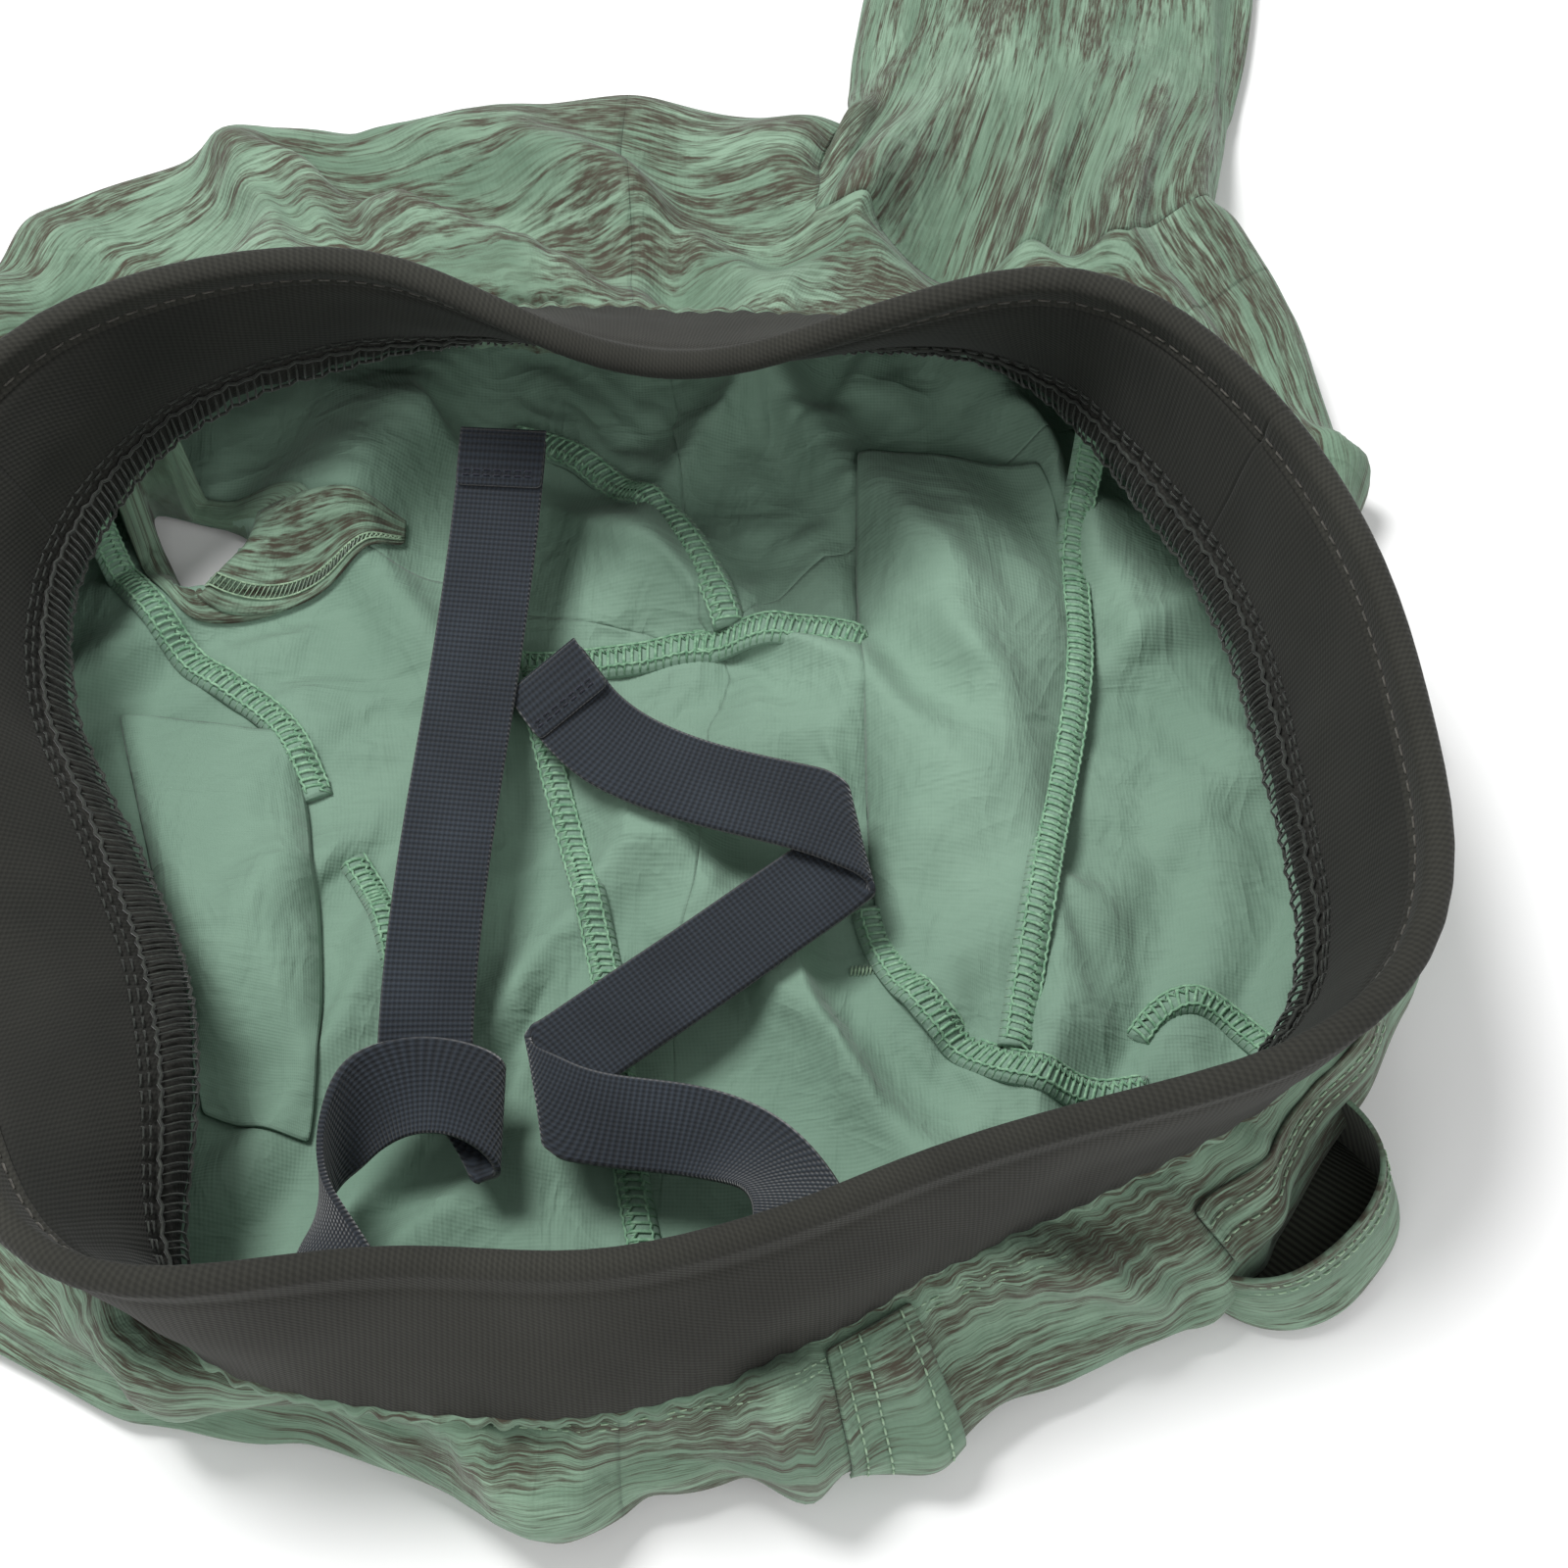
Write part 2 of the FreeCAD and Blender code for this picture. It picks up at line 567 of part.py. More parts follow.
def write(pieces):
    """Moves the bottom centre of the whole to the origin and writes every piece."""
    low, high = extent(pieces)
    shift = Vector(-(low[0] + high[0]) / 2, -(low[1] + high[1]) / 2, -low[2])
    os.makedirs("parts", exist_ok=True)
    for name, shape in pieces.items():
        shape.translate(shift)
        box = shape.BoundBox
        print(
            f"{name:20s} {'ok ' if shape.isValid() else 'BAD'} solids {len(shape.Solids)}"
            f" volume {shape.Volume:7.0f} x {box.XMin:.0f}..{box.XMax:.0f}"
            f" y {box.YMin:.0f}..{box.YMax:.0f} z {box.ZMin:.1f}..{box.ZMax:.1f}"
        )
        shape.exportStep(f"parts/{name}.step")
    print("shift", shift, "size", [round(h - l, 2) for l, h in zip(low, high)])
    root, half, along = leg_axes()
    hinge = root + along * LEG_GAP + shift
    print("leg hinge", hinge, "axis", half.normalize(), "height", LEG_HEIGHT + 2 * CLOTH)
    for name, station in (("right", RIGHT_ANCHOR), ("left", LEFT_ANCHOR)):
        print(name, "strap hinge", sewn_point(station, 1) + shift, "axis", anchor_frame(station)[1])


write(build())
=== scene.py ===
import json
import math
import bmesh
import bpy
import numpy as np
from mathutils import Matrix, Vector, noise
from mathutils.bvhtree import BVHTree


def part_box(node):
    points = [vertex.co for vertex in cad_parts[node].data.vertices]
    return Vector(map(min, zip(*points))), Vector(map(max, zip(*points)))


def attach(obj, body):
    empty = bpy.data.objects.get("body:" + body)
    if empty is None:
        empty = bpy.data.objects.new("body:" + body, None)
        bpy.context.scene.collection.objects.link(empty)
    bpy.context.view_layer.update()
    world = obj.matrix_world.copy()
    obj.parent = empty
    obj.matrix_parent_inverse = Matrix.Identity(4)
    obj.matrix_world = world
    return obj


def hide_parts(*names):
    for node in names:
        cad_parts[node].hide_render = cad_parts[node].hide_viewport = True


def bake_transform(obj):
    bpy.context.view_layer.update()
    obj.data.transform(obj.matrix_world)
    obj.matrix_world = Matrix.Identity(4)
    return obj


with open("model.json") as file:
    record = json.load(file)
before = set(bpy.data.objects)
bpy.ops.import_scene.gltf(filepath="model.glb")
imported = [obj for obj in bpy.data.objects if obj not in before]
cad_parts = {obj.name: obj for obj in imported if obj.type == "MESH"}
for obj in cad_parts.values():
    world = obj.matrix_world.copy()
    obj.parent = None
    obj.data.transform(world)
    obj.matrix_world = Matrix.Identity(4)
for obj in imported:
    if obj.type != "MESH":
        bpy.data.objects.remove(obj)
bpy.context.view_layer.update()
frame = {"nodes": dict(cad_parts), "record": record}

NODES, RECORD = frame["nodes"], frame["record"]
JOINTS = {joint["name"]: joint for joint in RECORD["behaviour"]["joints"]}

# Plan coordinates: where the left leg folds, so that plan points can be moved into the frame.
FOLD_IN_PLAN = Vector((0.059542, 0.177950, 0.0))
FOLD = Vector(JOINTS["left_leg_fold"]["pos_m"])
FOLD_AXIS = Vector(JOINTS["left_leg_fold"]["axis"])
SHIFT = Vector((FOLD.x - FOLD_IN_PLAN.x, FOLD.y - FOLD_IN_PLAN.y, 0.0))
LEG_WAY = Vector((-FOLD_AXIS.y, FOLD_AXIS.x, 0.0)).normalized()


def plan(x, y, z=0.0):
    """A point of the plan, in millimetres, as a point of the frame."""
    return Vector((x, y, z)) / 1000 + SHIFT


# --- camera, floor and light --------------------------------------------------------------
def camera():
    data = bpy.data.cameras.new("camera")
    data.lens, data.sensor_width = 63.0, 36.0
    data.clip_start, data.clip_end = 0.01, 20.0
    eye = bpy.data.objects.new("camera", data)
    bpy.context.scene.collection.objects.link(eye)
    eye.location = plan(0, -271.5, 524.8)
    eye.rotation_euler = (math.radians(29.0), 0.0, 0.0)
    bpy.context.scene.camera = eye


def area_light(name, place, size, power, aim, tint=(1, 1, 1)):
    data = bpy.data.lights.new(name, "AREA")
    data.shape, data.size, data.energy, data.color = "DISK", size, power, tint
    lamp = bpy.data.objects.new(name, data)
    bpy.context.scene.collection.objects.link(lamp)
    lamp.location = place
    lamp.rotation_euler = (Vector(aim) - Vector(place)).to_track_quat("-Z", "Y").to_euler()


def studio():
    bpy.ops.object.select_all(action="DESELECT")
    bpy.ops.mesh.primitive_plane_add(size=12.0, location=(0, 0, -0.0006))
    floor = bpy.context.object
    floor.name = "studio_floor"
    floor.data.materials.append(plain("floor_white", (0.95, 0.95, 0.95), 0.9))
    middle = plan(-20, 20, 20)
    area_light("key_light", middle + Vector((-0.5, 0.3, 1.45)), 0.55, 22.0, middle)
    area_light("fill_light", middle + Vector((1.1, -0.9, 1.0)), 1.2, 6.0, middle)
    area_light("front_light", middle + Vector((-0.6, -1.3, 0.9)), 1.0, 4.0, middle)
    world = bpy.data.worlds.new("soft_room")
    world.use_nodes = True
    world.node_tree.nodes["Background"].inputs["Color"].default_value = (1, 1, 1, 1)
    world.node_tree.nodes["Background"].inputs["Strength"].default_value = 0.5
    bpy.context.scene.world = world
    bpy.context.scene.view_settings.view_transform = "Standard"


# --- shader maths -------------------------------------------------------------------------
class Wire:
    """A socket whose sums and products add Math nodes to its tree."""

    def __init__(self, shader, socket):
        self.shader, self.socket = shader, socket

    def _math(self, operation, *values):
        return self.shader.node("ShaderNodeMath", {"operation": operation}, *values)

    def __add__(self, other):
        return self._math("ADD", self, other)

    def __sub__(self, other):
        return self._math("SUBTRACT", self, other)

    def __rsub__(self, other):
        return self._math("SUBTRACT", other, self)

    def __mul__(self, other):
        return self._math("MULTIPLY", self, other)

    __radd__, __rmul__ = __add__, __mul__


class Shader:
    """One material: its tree, and one method that adds any node."""

    def __init__(self, name, roughness=0.85, sheen=0.0):
        self.material = bpy.data.materials.new(name)
        self.material.use_nodes = True
        self.tree = self.material.node_tree
        self.skin = self.tree.nodes["Principled BSDF"]
        self.skin.inputs["Roughness"].default_value = roughness
        self.skin.inputs["Sheen Weight"].default_value = sheen
        self.skin.inputs["Specular IOR Level"].default_value = 0.25

    def node(self, kind, settings=None, *values, out=0, **named):
        made = self.tree.nodes.new(kind)
        for key, value in (settings or {}).items():
            setattr(made, key, value)
        for key, value in list(enumerate(values)) + [(k.replace("_", " "), v) for k, v in named.items()]:
            if isinstance(value, Wire):
                self.tree.links.new(value.socket, made.inputs[key])
            else:
                made.inputs[key].default_value = value
        return Wire(self, made.outputs[out])

    def feed(self, **sockets):
        for key, wire in sockets.items():
            self.tree.links.new(wire.socket, self.skin.inputs[key.replace("_", " ")])

    def uv(self, scale=(1, 1, 1), turn=0.0):
        spot = self.node("ShaderNodeUVMap", {"uv_map": "cloth"})
        return self.node("ShaderNodeMapping", None, Vector=spot, Scale=scale, Rotation=(0, 0, turn))

    def place(self, scale=(1, 1, 1)):
        spot = self.node("ShaderNodeTexCoord", out=3)
        return self.node("ShaderNodeMapping", None, Vector=spot, Scale=scale)

    def noise(self, where, scale, detail=3.0, rough=0.55, distortion=0.0):
        return self.node("ShaderNodeTexNoise", None, Vector=where, Scale=scale, Detail=detail,
                         Roughness=rough, Distortion=distortion)

    def ramp(self, wire, *stops):
        made = self.tree.nodes.new("ShaderNodeValToRGB")
        points = made.color_ramp.elements
        while len(points) < len(stops):
            points.new(0.5)
        for point, (at, color) in zip(points, stops):
            point.position = at
            point.color = tuple(color) + (1,) if hasattr(color, "__len__") else (color,) * 3 + (1,)
        self.tree.links.new(wire.socket, made.inputs[0])
        return Wire(self, made.outputs[0])

    def mix(self, share, first, second, blend="MIX"):
        return self.node("ShaderNodeMixRGB", {"blend_type": blend}, share, first, second)

    def bump(self, height, strength, distance, under=None):
        made = self.tree.nodes.new("ShaderNodeBump")
        made.inputs["Strength"].default_value = strength
        made.inputs["Distance"].default_value = distance
        self.tree.links.new(height.socket, made.inputs["Height"])
        if under is not None:
            self.tree.links.new(under.socket, made.inputs["Normal"])
        return Wire(self, made.outputs[0])


def rgb(r, g, b):
    """Screen colour 0..255 as a linear shader colour."""
    parts = [c / 255 for c in (r, g, b)]
    return tuple(p / 12.92 if p <= 0.04045 else ((p + 0.055) / 1.055) ** 2.4 for p in parts)


def rgba(r, g, b):
    return rgb(r, g, b) + (1.0,)


def plain(name, color, roughness):
    shader = Shader(name, roughness)
    shader.skin.inputs["Base Color"].default_value = tuple(color) + (1,)
    return shader.material


def waves(shader, where, scale, direction, distortion=0.0, detail=0.0, detail_scale=1.0):
    settings = {"wave_type": "BANDS", "bands_direction": direction, "wave_profile": "SIN"}
    return shader.node("ShaderNodeTexWave", settings, Vector=where, Scale=scale, Distortion=distortion,
                       Detail=detail, Detail_Scale=detail_scale, out=1)


def threads(shader, pitch, direction, turn=0.0, distortion=0.0, detail=0.0, detail_scale=1.0):
    """Waves one thread's pitch apart, in metres, along the cloth's flat coordinates."""
    return waves(shader, shader.uv(turn=turn), 2 * math.pi / pitch / 20, direction,
                 distortion, detail, detail_scale)


def weave_height(shader, pitch=0.0008):
    """Over and under threads of a plain weave."""
    return threads(shader, pitch, "X") * 0.5 + threads(shader, pitch, "Y") * 0.5


def feed_worn_weave(shader):
    """Weave and small creases as the surface of a worn cloth."""
    weave = shader.bump(weave_height(shader), 0.25, 0.0003)
    shader.feed(Normal=shader.bump(small_creases(shader), 0.55, 0.004, weave))


def small_creases(shader):
    """Height of the short soft creases that a worn cloth keeps."""
    long_way = shader.noise(shader.place((30, 75, 40)), 1.0, 3.0, 0.5, 0.6)
    cross_way = shader.noise(shader.place((80, 34, 40)), 1.0, 3.0, 0.5, 0.6)
    sharp = {"operation": "ABSOLUTE"}
    first = shader.node("ShaderNodeMath", sharp, long_way - 0.5)
    second = shader.node("ShaderNodeMath", sharp, cross_way - 0.5)
    return 0.6 - first - second


def shell_inside_cloth():
    shader = Shader("shell_inside", 0.8, 0.12)
    broad = shader.noise(shader.place((14, 14, 14)), 1.0, 3.0)
    slub = shader.noise(shader.uv((120, 900, 1)), 1.0, 2.0)
    color = shader.ramp(broad, (0.3, rgb(113, 141, 124)), (0.7, rgb(132, 160, 142)))
    color = shader.mix(slub * 0.3, color, rgba(98, 127, 108))
    shader.feed(Base_Color=color)
    feed_worn_weave(shader)
    return shader.material


def shell_outside_cloth():
    """Woven shell with bark-like streaks printed across it."""
    shader = Shader("shell_outside", 0.8, 0.1)
    drift = shader.noise(shader.uv((22, 34, 1)), 1.0, 2.0)
    broad = shader.noise(shader.uv((16, 60, 1)), 1.0, 4.0, 0.6, 0.4)
    streak = shader.noise(shader.uv((30, 330, 1)), 1.0, 6.0, 0.68, 0.35)
    fine = shader.noise(shader.uv((110, 1300, 1)), 1.0, 4.0, 0.65, 0.3)
    fleck = shader.noise(shader.uv((240, 1700, 1)), 1.0, 3.0)
    ground = shader.ramp(broad, (0.36, rgb(104, 130, 110)), (0.64, rgb(138, 165, 143)))
    ground = shader.mix(shader.ramp(fine, (0.44, 0.0), (0.62, 0.75)), ground, rgba(88, 106, 88))
    mask = streak * 0.55 + fine * 0.18 + broad * 0.3 + drift * 0.35
    ink = shader.ramp(mask, (0.665, 0.0), (0.72, 1.0))
    worn = shader.ramp(fleck, (0.38, 0.35), (0.56, 1.0))
    ink = shader.node("ShaderNodeMath", {"operation": "MULTIPLY"}, ink, worn)
    color = shader.mix(ink * 0.95, ground, rgba(68, 59, 49))
    shader.feed(Base_Color=color)
    feed_worn_weave(shader)
    return shader.material


def lining_cloth():
    """Dark ribbed cloth inside the hip pocket's mouth."""
    shader = Shader("pocket_lining", 0.85, 0.1)
    rib = threads(shader, 0.0016, "X", 0.0, 0.3, 1.0, 3.0)
    # colour follows the rib's height, darker in the grooves and lighter on the ridges: painted shade and painted
    # highlight on the ribs
    shader.feed(Base_Color=shader.ramp(rib, (0.2, rgb(46, 48, 42)), (0.8, rgb(72, 76, 66))))
    shader.feed(Normal=shader.bump(rib, 0.4, 0.0004))
    return shader.material


def knit_cloth(name, dark, light):
    shader = Shader(name, 0.92, 0.05)
    broad = shader.noise(shader.uv((20, 20, 1)), 1.0, 3.0)
    wale = threads(shader, 0.0011, "X", 0.0, 0.4, 1.0, 4.0)
    course = threads(shader, 0.0009, "Y", 0.5, 0.6, 1.0, 4.0)
    height = wale * 0.6 + course * 0.4
    color = shader.ramp(broad, (0.3, dark), (0.7, light))
    shade = shader.ramp(height, (0.2, 0.72), (0.8, 1.1))
    color = shader.mix(1.0, color, shade, "MULTIPLY")
    shader.feed(Base_Color=color)
    shader.feed(Normal=shader.bump(height, 0.35, 0.0004))
    return shader.material


def webbing_cloth():
    """Basket weave of a dark woven elastic."""
    shader = Shader("webbing", 0.75, 0.25)
    height = threads(shader, 0.0012, "Y") * 0.6 + threads(shader, 0.0010, "X") * 0.4
    tone = shader.noise(shader.uv((30, 30, 1)), 1.0, 2.0)
    color = shader.ramp(tone, (0.3, rgb(27, 33, 40)), (0.7, rgb(41, 48, 56)))
    shade = shader.ramp(height, (0.15, 0.45), (0.85, 1.35))
    shader.feed(Base_Color=shader.mix(1.0, color, shade, "MULTIPLY"))
    shader.feed(Normal=shader.bump(height, 0.7, 0.0006))
    return shader.material


def thread_cloth(name, dark, light):
    shader = Shader(name, 0.6, 0.2)
    twist = shader.noise(shader.place((900, 900, 900)), 1.0, 2.0)
    shader.feed(Base_Color=shader.ramp(twist, (0.3, dark), (0.7, light)))
    return shader.material


# --- rings read from the frame ------------------------------------------------------------
def cloud(*names):
    """All vertices of some CAD nodes, as an array."""
    stacks = []
    for name in names:
        mesh = NODES[name].data
        flat = np.zeros(len(mesh.vertices) * 3)
        mesh.vertices.foreach_get("co", flat)
        stacks.append(flat.reshape(-1, 3))
    return np.concatenate(stacks)


PANELS = ("front_left_panel", "back_left_panel", "back_right_panel", "front_right_panel")
MIDDLE = plan(-28, -5)
CROTCH = plan(-14, 50, 17)


def ring(points, pick, count=120, spread=0.04):
    """Smooth closed ring: for each of count directions about the middle, pick's point."""
    angles = np.arctan2(points[:, 1] - MIDDLE.y, points[:, 0] - MIDDLE.x)
    out = []
    for k in range(count):
        turn = 2 * math.pi * k / count
        gap = np.abs((angles - turn + math.pi) % (2 * math.pi) - math.pi)
        near = points[gap < spread]
        out.append(pick(near))
    out = np.array(out)
    for _ in range(2):
        out = (np.roll(out, 1, 0) + 2 * out + np.roll(out, -1, 0)) / 4
    return out


def on_ring(table, turn):
    """Point of a ring at a direction, between its entries."""
    at = (turn % (2 * math.pi)) / (2 * math.pi) * len(table)
    low = int(at) % len(table)
    share = at - int(at)
    return Vector(table[low] * (1 - share) + table[(low + 1) % len(table)] * share)


def outermost(near):
    """Mean of the points that lie farthest from the middle."""
    reach = np.hypot(near[:, 0] - MIDDLE.x, near[:, 1] - MIDDLE.y)
    return near[reach > reach.max() - 0.0015].mean(0)


SEAM = ring(cloud("waist_seam"), lambda near: near.mean(0))
TOP = ring(cloud("waist_elastic"), lambda near: near.mean(0))
FOOT = ring(cloud(*PANELS), outermost)
FOOT[:, 2] = 0.001


def turn_of(point):
    return math.atan2(point.y - MIDDLE.y, point.x - MIDDLE.x)


# --- meshes -------------------------------------------------------------------------------
def new_object(name, mesh):
    made = bpy.data.objects.new(name, mesh)
    bpy.context.scene.collection.objects.link(made)
    return made


def mesh_object(name, points, faces, uvs=None, smooth=True):
    mesh = bpy.data.meshes.new(name)
    mesh.from_pydata([tuple(p) for p in points], [], faces)
    if uvs is not None:
        layer = mesh.uv_layers.new(name="cloth")
        for loop in mesh.loops:
            layer.data[loop.index].uv = uvs[loop.vertex_index]
    mesh.polygons.foreach_set("use_smooth", [smooth] * len(mesh.polygons))
    return new_object(name, mesh)


def apply_modifiers(obj):
    """Freezes an object's modifiers into its mesh."""
    bpy.context.view_layer.update()
    graph = bpy.context.evaluated_depsgraph_get()
    mesh = bpy.data.meshes.new_from_object(obj.evaluated_get(graph))
    old = obj.data
    obj.modifiers.clear()
    if old.shape_keys:
        obj.shape_key_clear()
    obj.data = mesh
    mesh.name = obj.name


def thicken(obj, thickness, levels=0, offset=0.0, inner_slot=0):
    if levels:
        smoother = obj.modifiers.new("rounder", "SUBSURF")
        smoother.levels = smoother.render_levels = levels
    wall = obj.modifiers.new("cloth_thickness", "SOLIDIFY")
    wall.thickness, wall.offset = thickness, offset
    wall.use_even_offset = False
    wall.material_offset = inner_slot
    apply_modifiers(obj)


# --- the shell's cloth --------------------------------------------------------------------
COLUMNS = 192          # cells round the waist, a multiple of 16
WALL_ROWS = 12
FLOOR_ROWS = 24
LEG_RINGS = 18
WALL_CELL = 0.0062
LEG_CELL = 0.0055
MOST_STRIDE = 16       # columns that one floor cell spans next to the crotch
LEG_UPPER, LEG_LOWER = 5, WALL_ROWS + 1     # rows between which the left leg opens
LEG_TAG = 4            # the left leg's tag, after the four panels'
GROUND = 0.001         # lowest middle of the cloth
LEG_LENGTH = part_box("left_leg_back")[1][1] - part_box("left_leg_back")[0][1] - 0.014
LEG_ROOT = Vector((FOLD.x, FOLD.y, 0.0))


def column_turns():
    """Directions of the columns, evenly spaced along a ring between waist seam and foot."""
    fine = 1440
    turns = [2 * math.pi * k / fine for k in range(fine + 1)]
    mids = [on_ring(SEAM, t) * 0.6 + on_ring(FOOT, t) * 0.4 for t in turns]
    walk = np.cumsum([0.0] + [(b - a).length for a, b in zip(mids, mids[1:])])
    return np.interp(np.linspace(0, walk[-1], COLUMNS + 1)[:-1], walk, turns), walk[-1]


def wall_spot(turn, share):
    seam, foot = on_ring(SEAM, turn), on_ring(FOOT, turn)
    angle = share * math.pi / 2
    flat = seam.lerp(foot, math.sin(angle))
    full = max(0.0, math.sin(turn + 0.35))
    return Vector((flat.x, flat.y, GROUND + (seam.z - 0.001 - GROUND) * math.cos(angle) ** (1.0 - 0.5 * full)))


def floor_spot(turn, share):
    foot = on_ring(FOOT, turn)
    start = foot + (CROTCH - foot).normalized() * 0.003
    spot = start.lerp(CROTCH, share)
    rise = max(0.0, share - 0.2) / 0.8
    return Vector((spot.x, spot.y, 0.001 + 0.009 * math.sin(math.pi / 2 * rise) ** 1.2))


def crease(point, seed, size, stretch=1.0, turn=0.0):
    """Soft hollows between crisp ridges, 0 to 1."""
    c, s = math.cos(turn), math.sin(turn)
    u, v = (point.x * c + point.y * s) / size, (point.y * c - point.x * s) / (size * stretch)
    bend = noise.noise(Vector((u * 0.7, v * 0.7, seed + 9.1))) * 0.8
    return max(0.0, 1.0 - abs(noise.noise(Vector((u + bend, v - bend, seed)))) * 2.4)


def wall_folds(point, turn, share):
    """How far the wall's designed folds lift it outwards."""
    girth = turn * 0.16
    radial = crease(Vector((girth, share * 0.05, 0.0)), 3.3, 0.034, 2.4, 0.35)
    slanted = crease(point, 5.1, 0.042, 2.2, 0.9)
    fade = min(1.0, share * 3.5) * (1.0 - 0.35 * share)
    far = 0.72 + 0.38 * max(0.0, math.sin(turn))
    return (0.016 * radial + 0.024 * slanted ** 1.3 - 0.012) * fade * far


def floor_folds(point, share):
    broad = crease(point, 1.7, 0.075, 2.0, 0.5)
    slanted = crease(point, 8.2, 0.05, 2.6, -0.7)
    fade = min(1.0, share * 5.0)
    return (0.017 * broad ** 1.8 + 0.013 * slanted ** 1.8) * fade


class Cloth:
    """Points, faces, flat coordinates and panels of a sheet put together ring by ring."""

    def __init__(self):
        self.points, self.faces, self.corners, self.tags = [], [], [], []

    def add(self, point):
        self.points.append(point)
        return len(self.points) - 1

    def face(self, spots, flats, tag):
        self.faces.append(spots)
        self.corners.extend(flats)
        self.tags.append(tag)

    def flat(self, *spots):
        """Flat coordinates of floor points: their own plan."""
        return [(self.points[v].x, self.points[v].y) for v in spots]

    def join(self, outer, inner, tags):
        """Floor faces between a closed ring and the next one in, with as many points or half."""
        count = len(outer)
        if len(inner) == count:
            for k in range(count):
                n = (k + 1) % count
                spots = (outer[k], inner[k], inner[n], outer[n])
                self.face(spots, self.flat(*spots), tags[k])
            return
        for k in range(len(inner)):
            a, b, c = outer[2 * k], outer[2 * k + 1], outer[(2 * k + 2) % count]
            near, far = inner[k], inner[(k + 1) % len(inner)]
            for spots, tag in (((a, near, b), tags[2 * k]), ((b, near, far), tags[2 * k]),
                               ((b, far, c), tags[2 * k + 1])):
                self.face(spots, self.flat(*spots), tag)


def panel_turns():
    """Directions of the left side, back centre, right side and front centre seams."""
    return [turn_of(p) % (2 * math.pi) for p in (
        plan(70, 90), plan(-33, 108), plan(-151, 70), plan(-32, -129))]


def panel_of(turn):
    left, back, right, front = panel_turns()
    turn %= 2 * math.pi
    starts = ((left, back, 1), (back, right, 2), (right, front, 3))
    return next((tag for low, high, tag in starts if low <= turn < high), 0)


def leg_section(rim, share):
    """Ring of the left leg at a share of its length, shaped from the rim of its way in."""
    way = LEG_WAY * (LEG_LENGTH * share)
    shape = min(1.0, share * 3)
    shape = shape * shape * (3 - 2 * shape)
    half = 0.043 + 0.004 * math.sin(math.pi * share)
    height = 0.028 * (1 - 0.25 * share)
    across = FOLD_AXIS.normalized()
    ring_points = []
    for point, turn in rim:
        oval = LEG_ROOT + across * (half * math.cos(turn))
        rise = height * math.sin(turn) ** 0.8 if math.sin(turn) > 0.001 else 0.0
        oval = Vector((oval.x, oval.y, 0.001 + rise))
        depth = (point - LEG_ROOT).dot(LEG_WAY)
        start = point - LEG_WAY * depth
        spot = start.lerp(oval, shape) + way + LEG_WAY * (depth * (1 - shape))
        if rise > 0:
            fold = crease(spot, 4.4, 0.03, 3.0, -0.35)
            spot.z += (0.009 * fold - 0.003) * min(1.0, share * 4) * math.sin(turn)
        ring_points.append(spot)
    return ring_points


def wall_rows(cloth, turns):
    """Rings of points from the waist seam down the outside to the foot."""
    rows = []
    for r in range(WALL_ROWS + 1):
        share = r / WALL_ROWS
        slope = share * math.pi / 2
        row = []
        for turn in turns:
            spot = wall_spot(turn, share)
            out = Vector((spot.x - MIDDLE.x, spot.y - MIDDLE.y, 0)).normalized()
            lift = wall_folds(spot, turn, share)
            spot += out * (lift * math.sin(slope) * 0.7)
            spot.z = max(GROUND, spot.z + lift * math.cos(slope * 0.8))
            row.append(cloth.add(spot))
        rows.append(row)
    return rows


def floor_rows(cloth, turns):
    """Rings of points from the foot in to the crotch, with fewer points as they get short."""
    rows, stride = [], 1
    for r in range(1, FLOOR_ROWS):
        share = r / FLOOR_ROWS
        if stride < MOST_STRIDE and (1 - share) < 0.5 / stride:
            stride *= 2
        row = []
        for k in range(0, COLUMNS, stride):
            spot = floor_spot(turns[k], share)
            spot.z += floor_folds(spot, share)
            row.append(cloth.add(spot))
        rows.append(row)
    return rows


def wall_and_floor_faces(cloth, rows, centre, panels, step, way_in):
    """All faces of wall and floor, but for the way into the left leg."""
    first, last = way_in
    for r, (outer, inner) in enumerate(zip(rows, rows[1:])):
        if r >= LEG_LOWER:
            scale = COLUMNS // len(outer)
            cloth.join(outer, inner, [panels[(k * scale) % COLUMNS] for k in range(len(outer))])
            continue
        for k in range(COLUMNS):
            if r >= LEG_UPPER and first <= k < last:
                continue
            n = (k + 1) % COLUMNS
            spots = (outer[k], inner[k], inner[n], outer[n])
            u, v = k * step, -r * WALL_CELL
            flats = [(u, v), (u, v - WALL_CELL), (u + step, v - WALL_CELL), (u + step, v)]
            if r == WALL_ROWS:
                flats = cloth.flat(*spots)
            cloth.face(spots, flats, panels[k])
    hub = rows[-1]
    scale = COLUMNS // len(hub)
    for k in range(len(hub)):
        spots = (hub[k], centre, hub[(k + 1) % len(hub)])
        cloth.face(spots, cloth.flat(*spots), panels[k * scale])


def leg_rim(rows, way_in):
    """Rim of the way into the left leg, over the arch and back below, and each point's angle."""
    first, last = way_in
    over = [rows[r][first] for r in range(LEG_LOWER, LEG_UPPER, -1)]
    over += [rows[LEG_UPPER][k] for k in range(first, last + 1)]
    over += [rows[r][last] for r in range(LEG_UPPER + 1, LEG_LOWER + 1)]
    under = [rows[LEG_LOWER][k] for k in range(last - 1, first, -1)]
    angles = [math.pi * n / (len(over) - 1) for n in range(len(over))]
    angles += [math.pi + math.pi * (n + 1) / (len(under) + 1) for n in range(len(under))]
    return over + under, angles


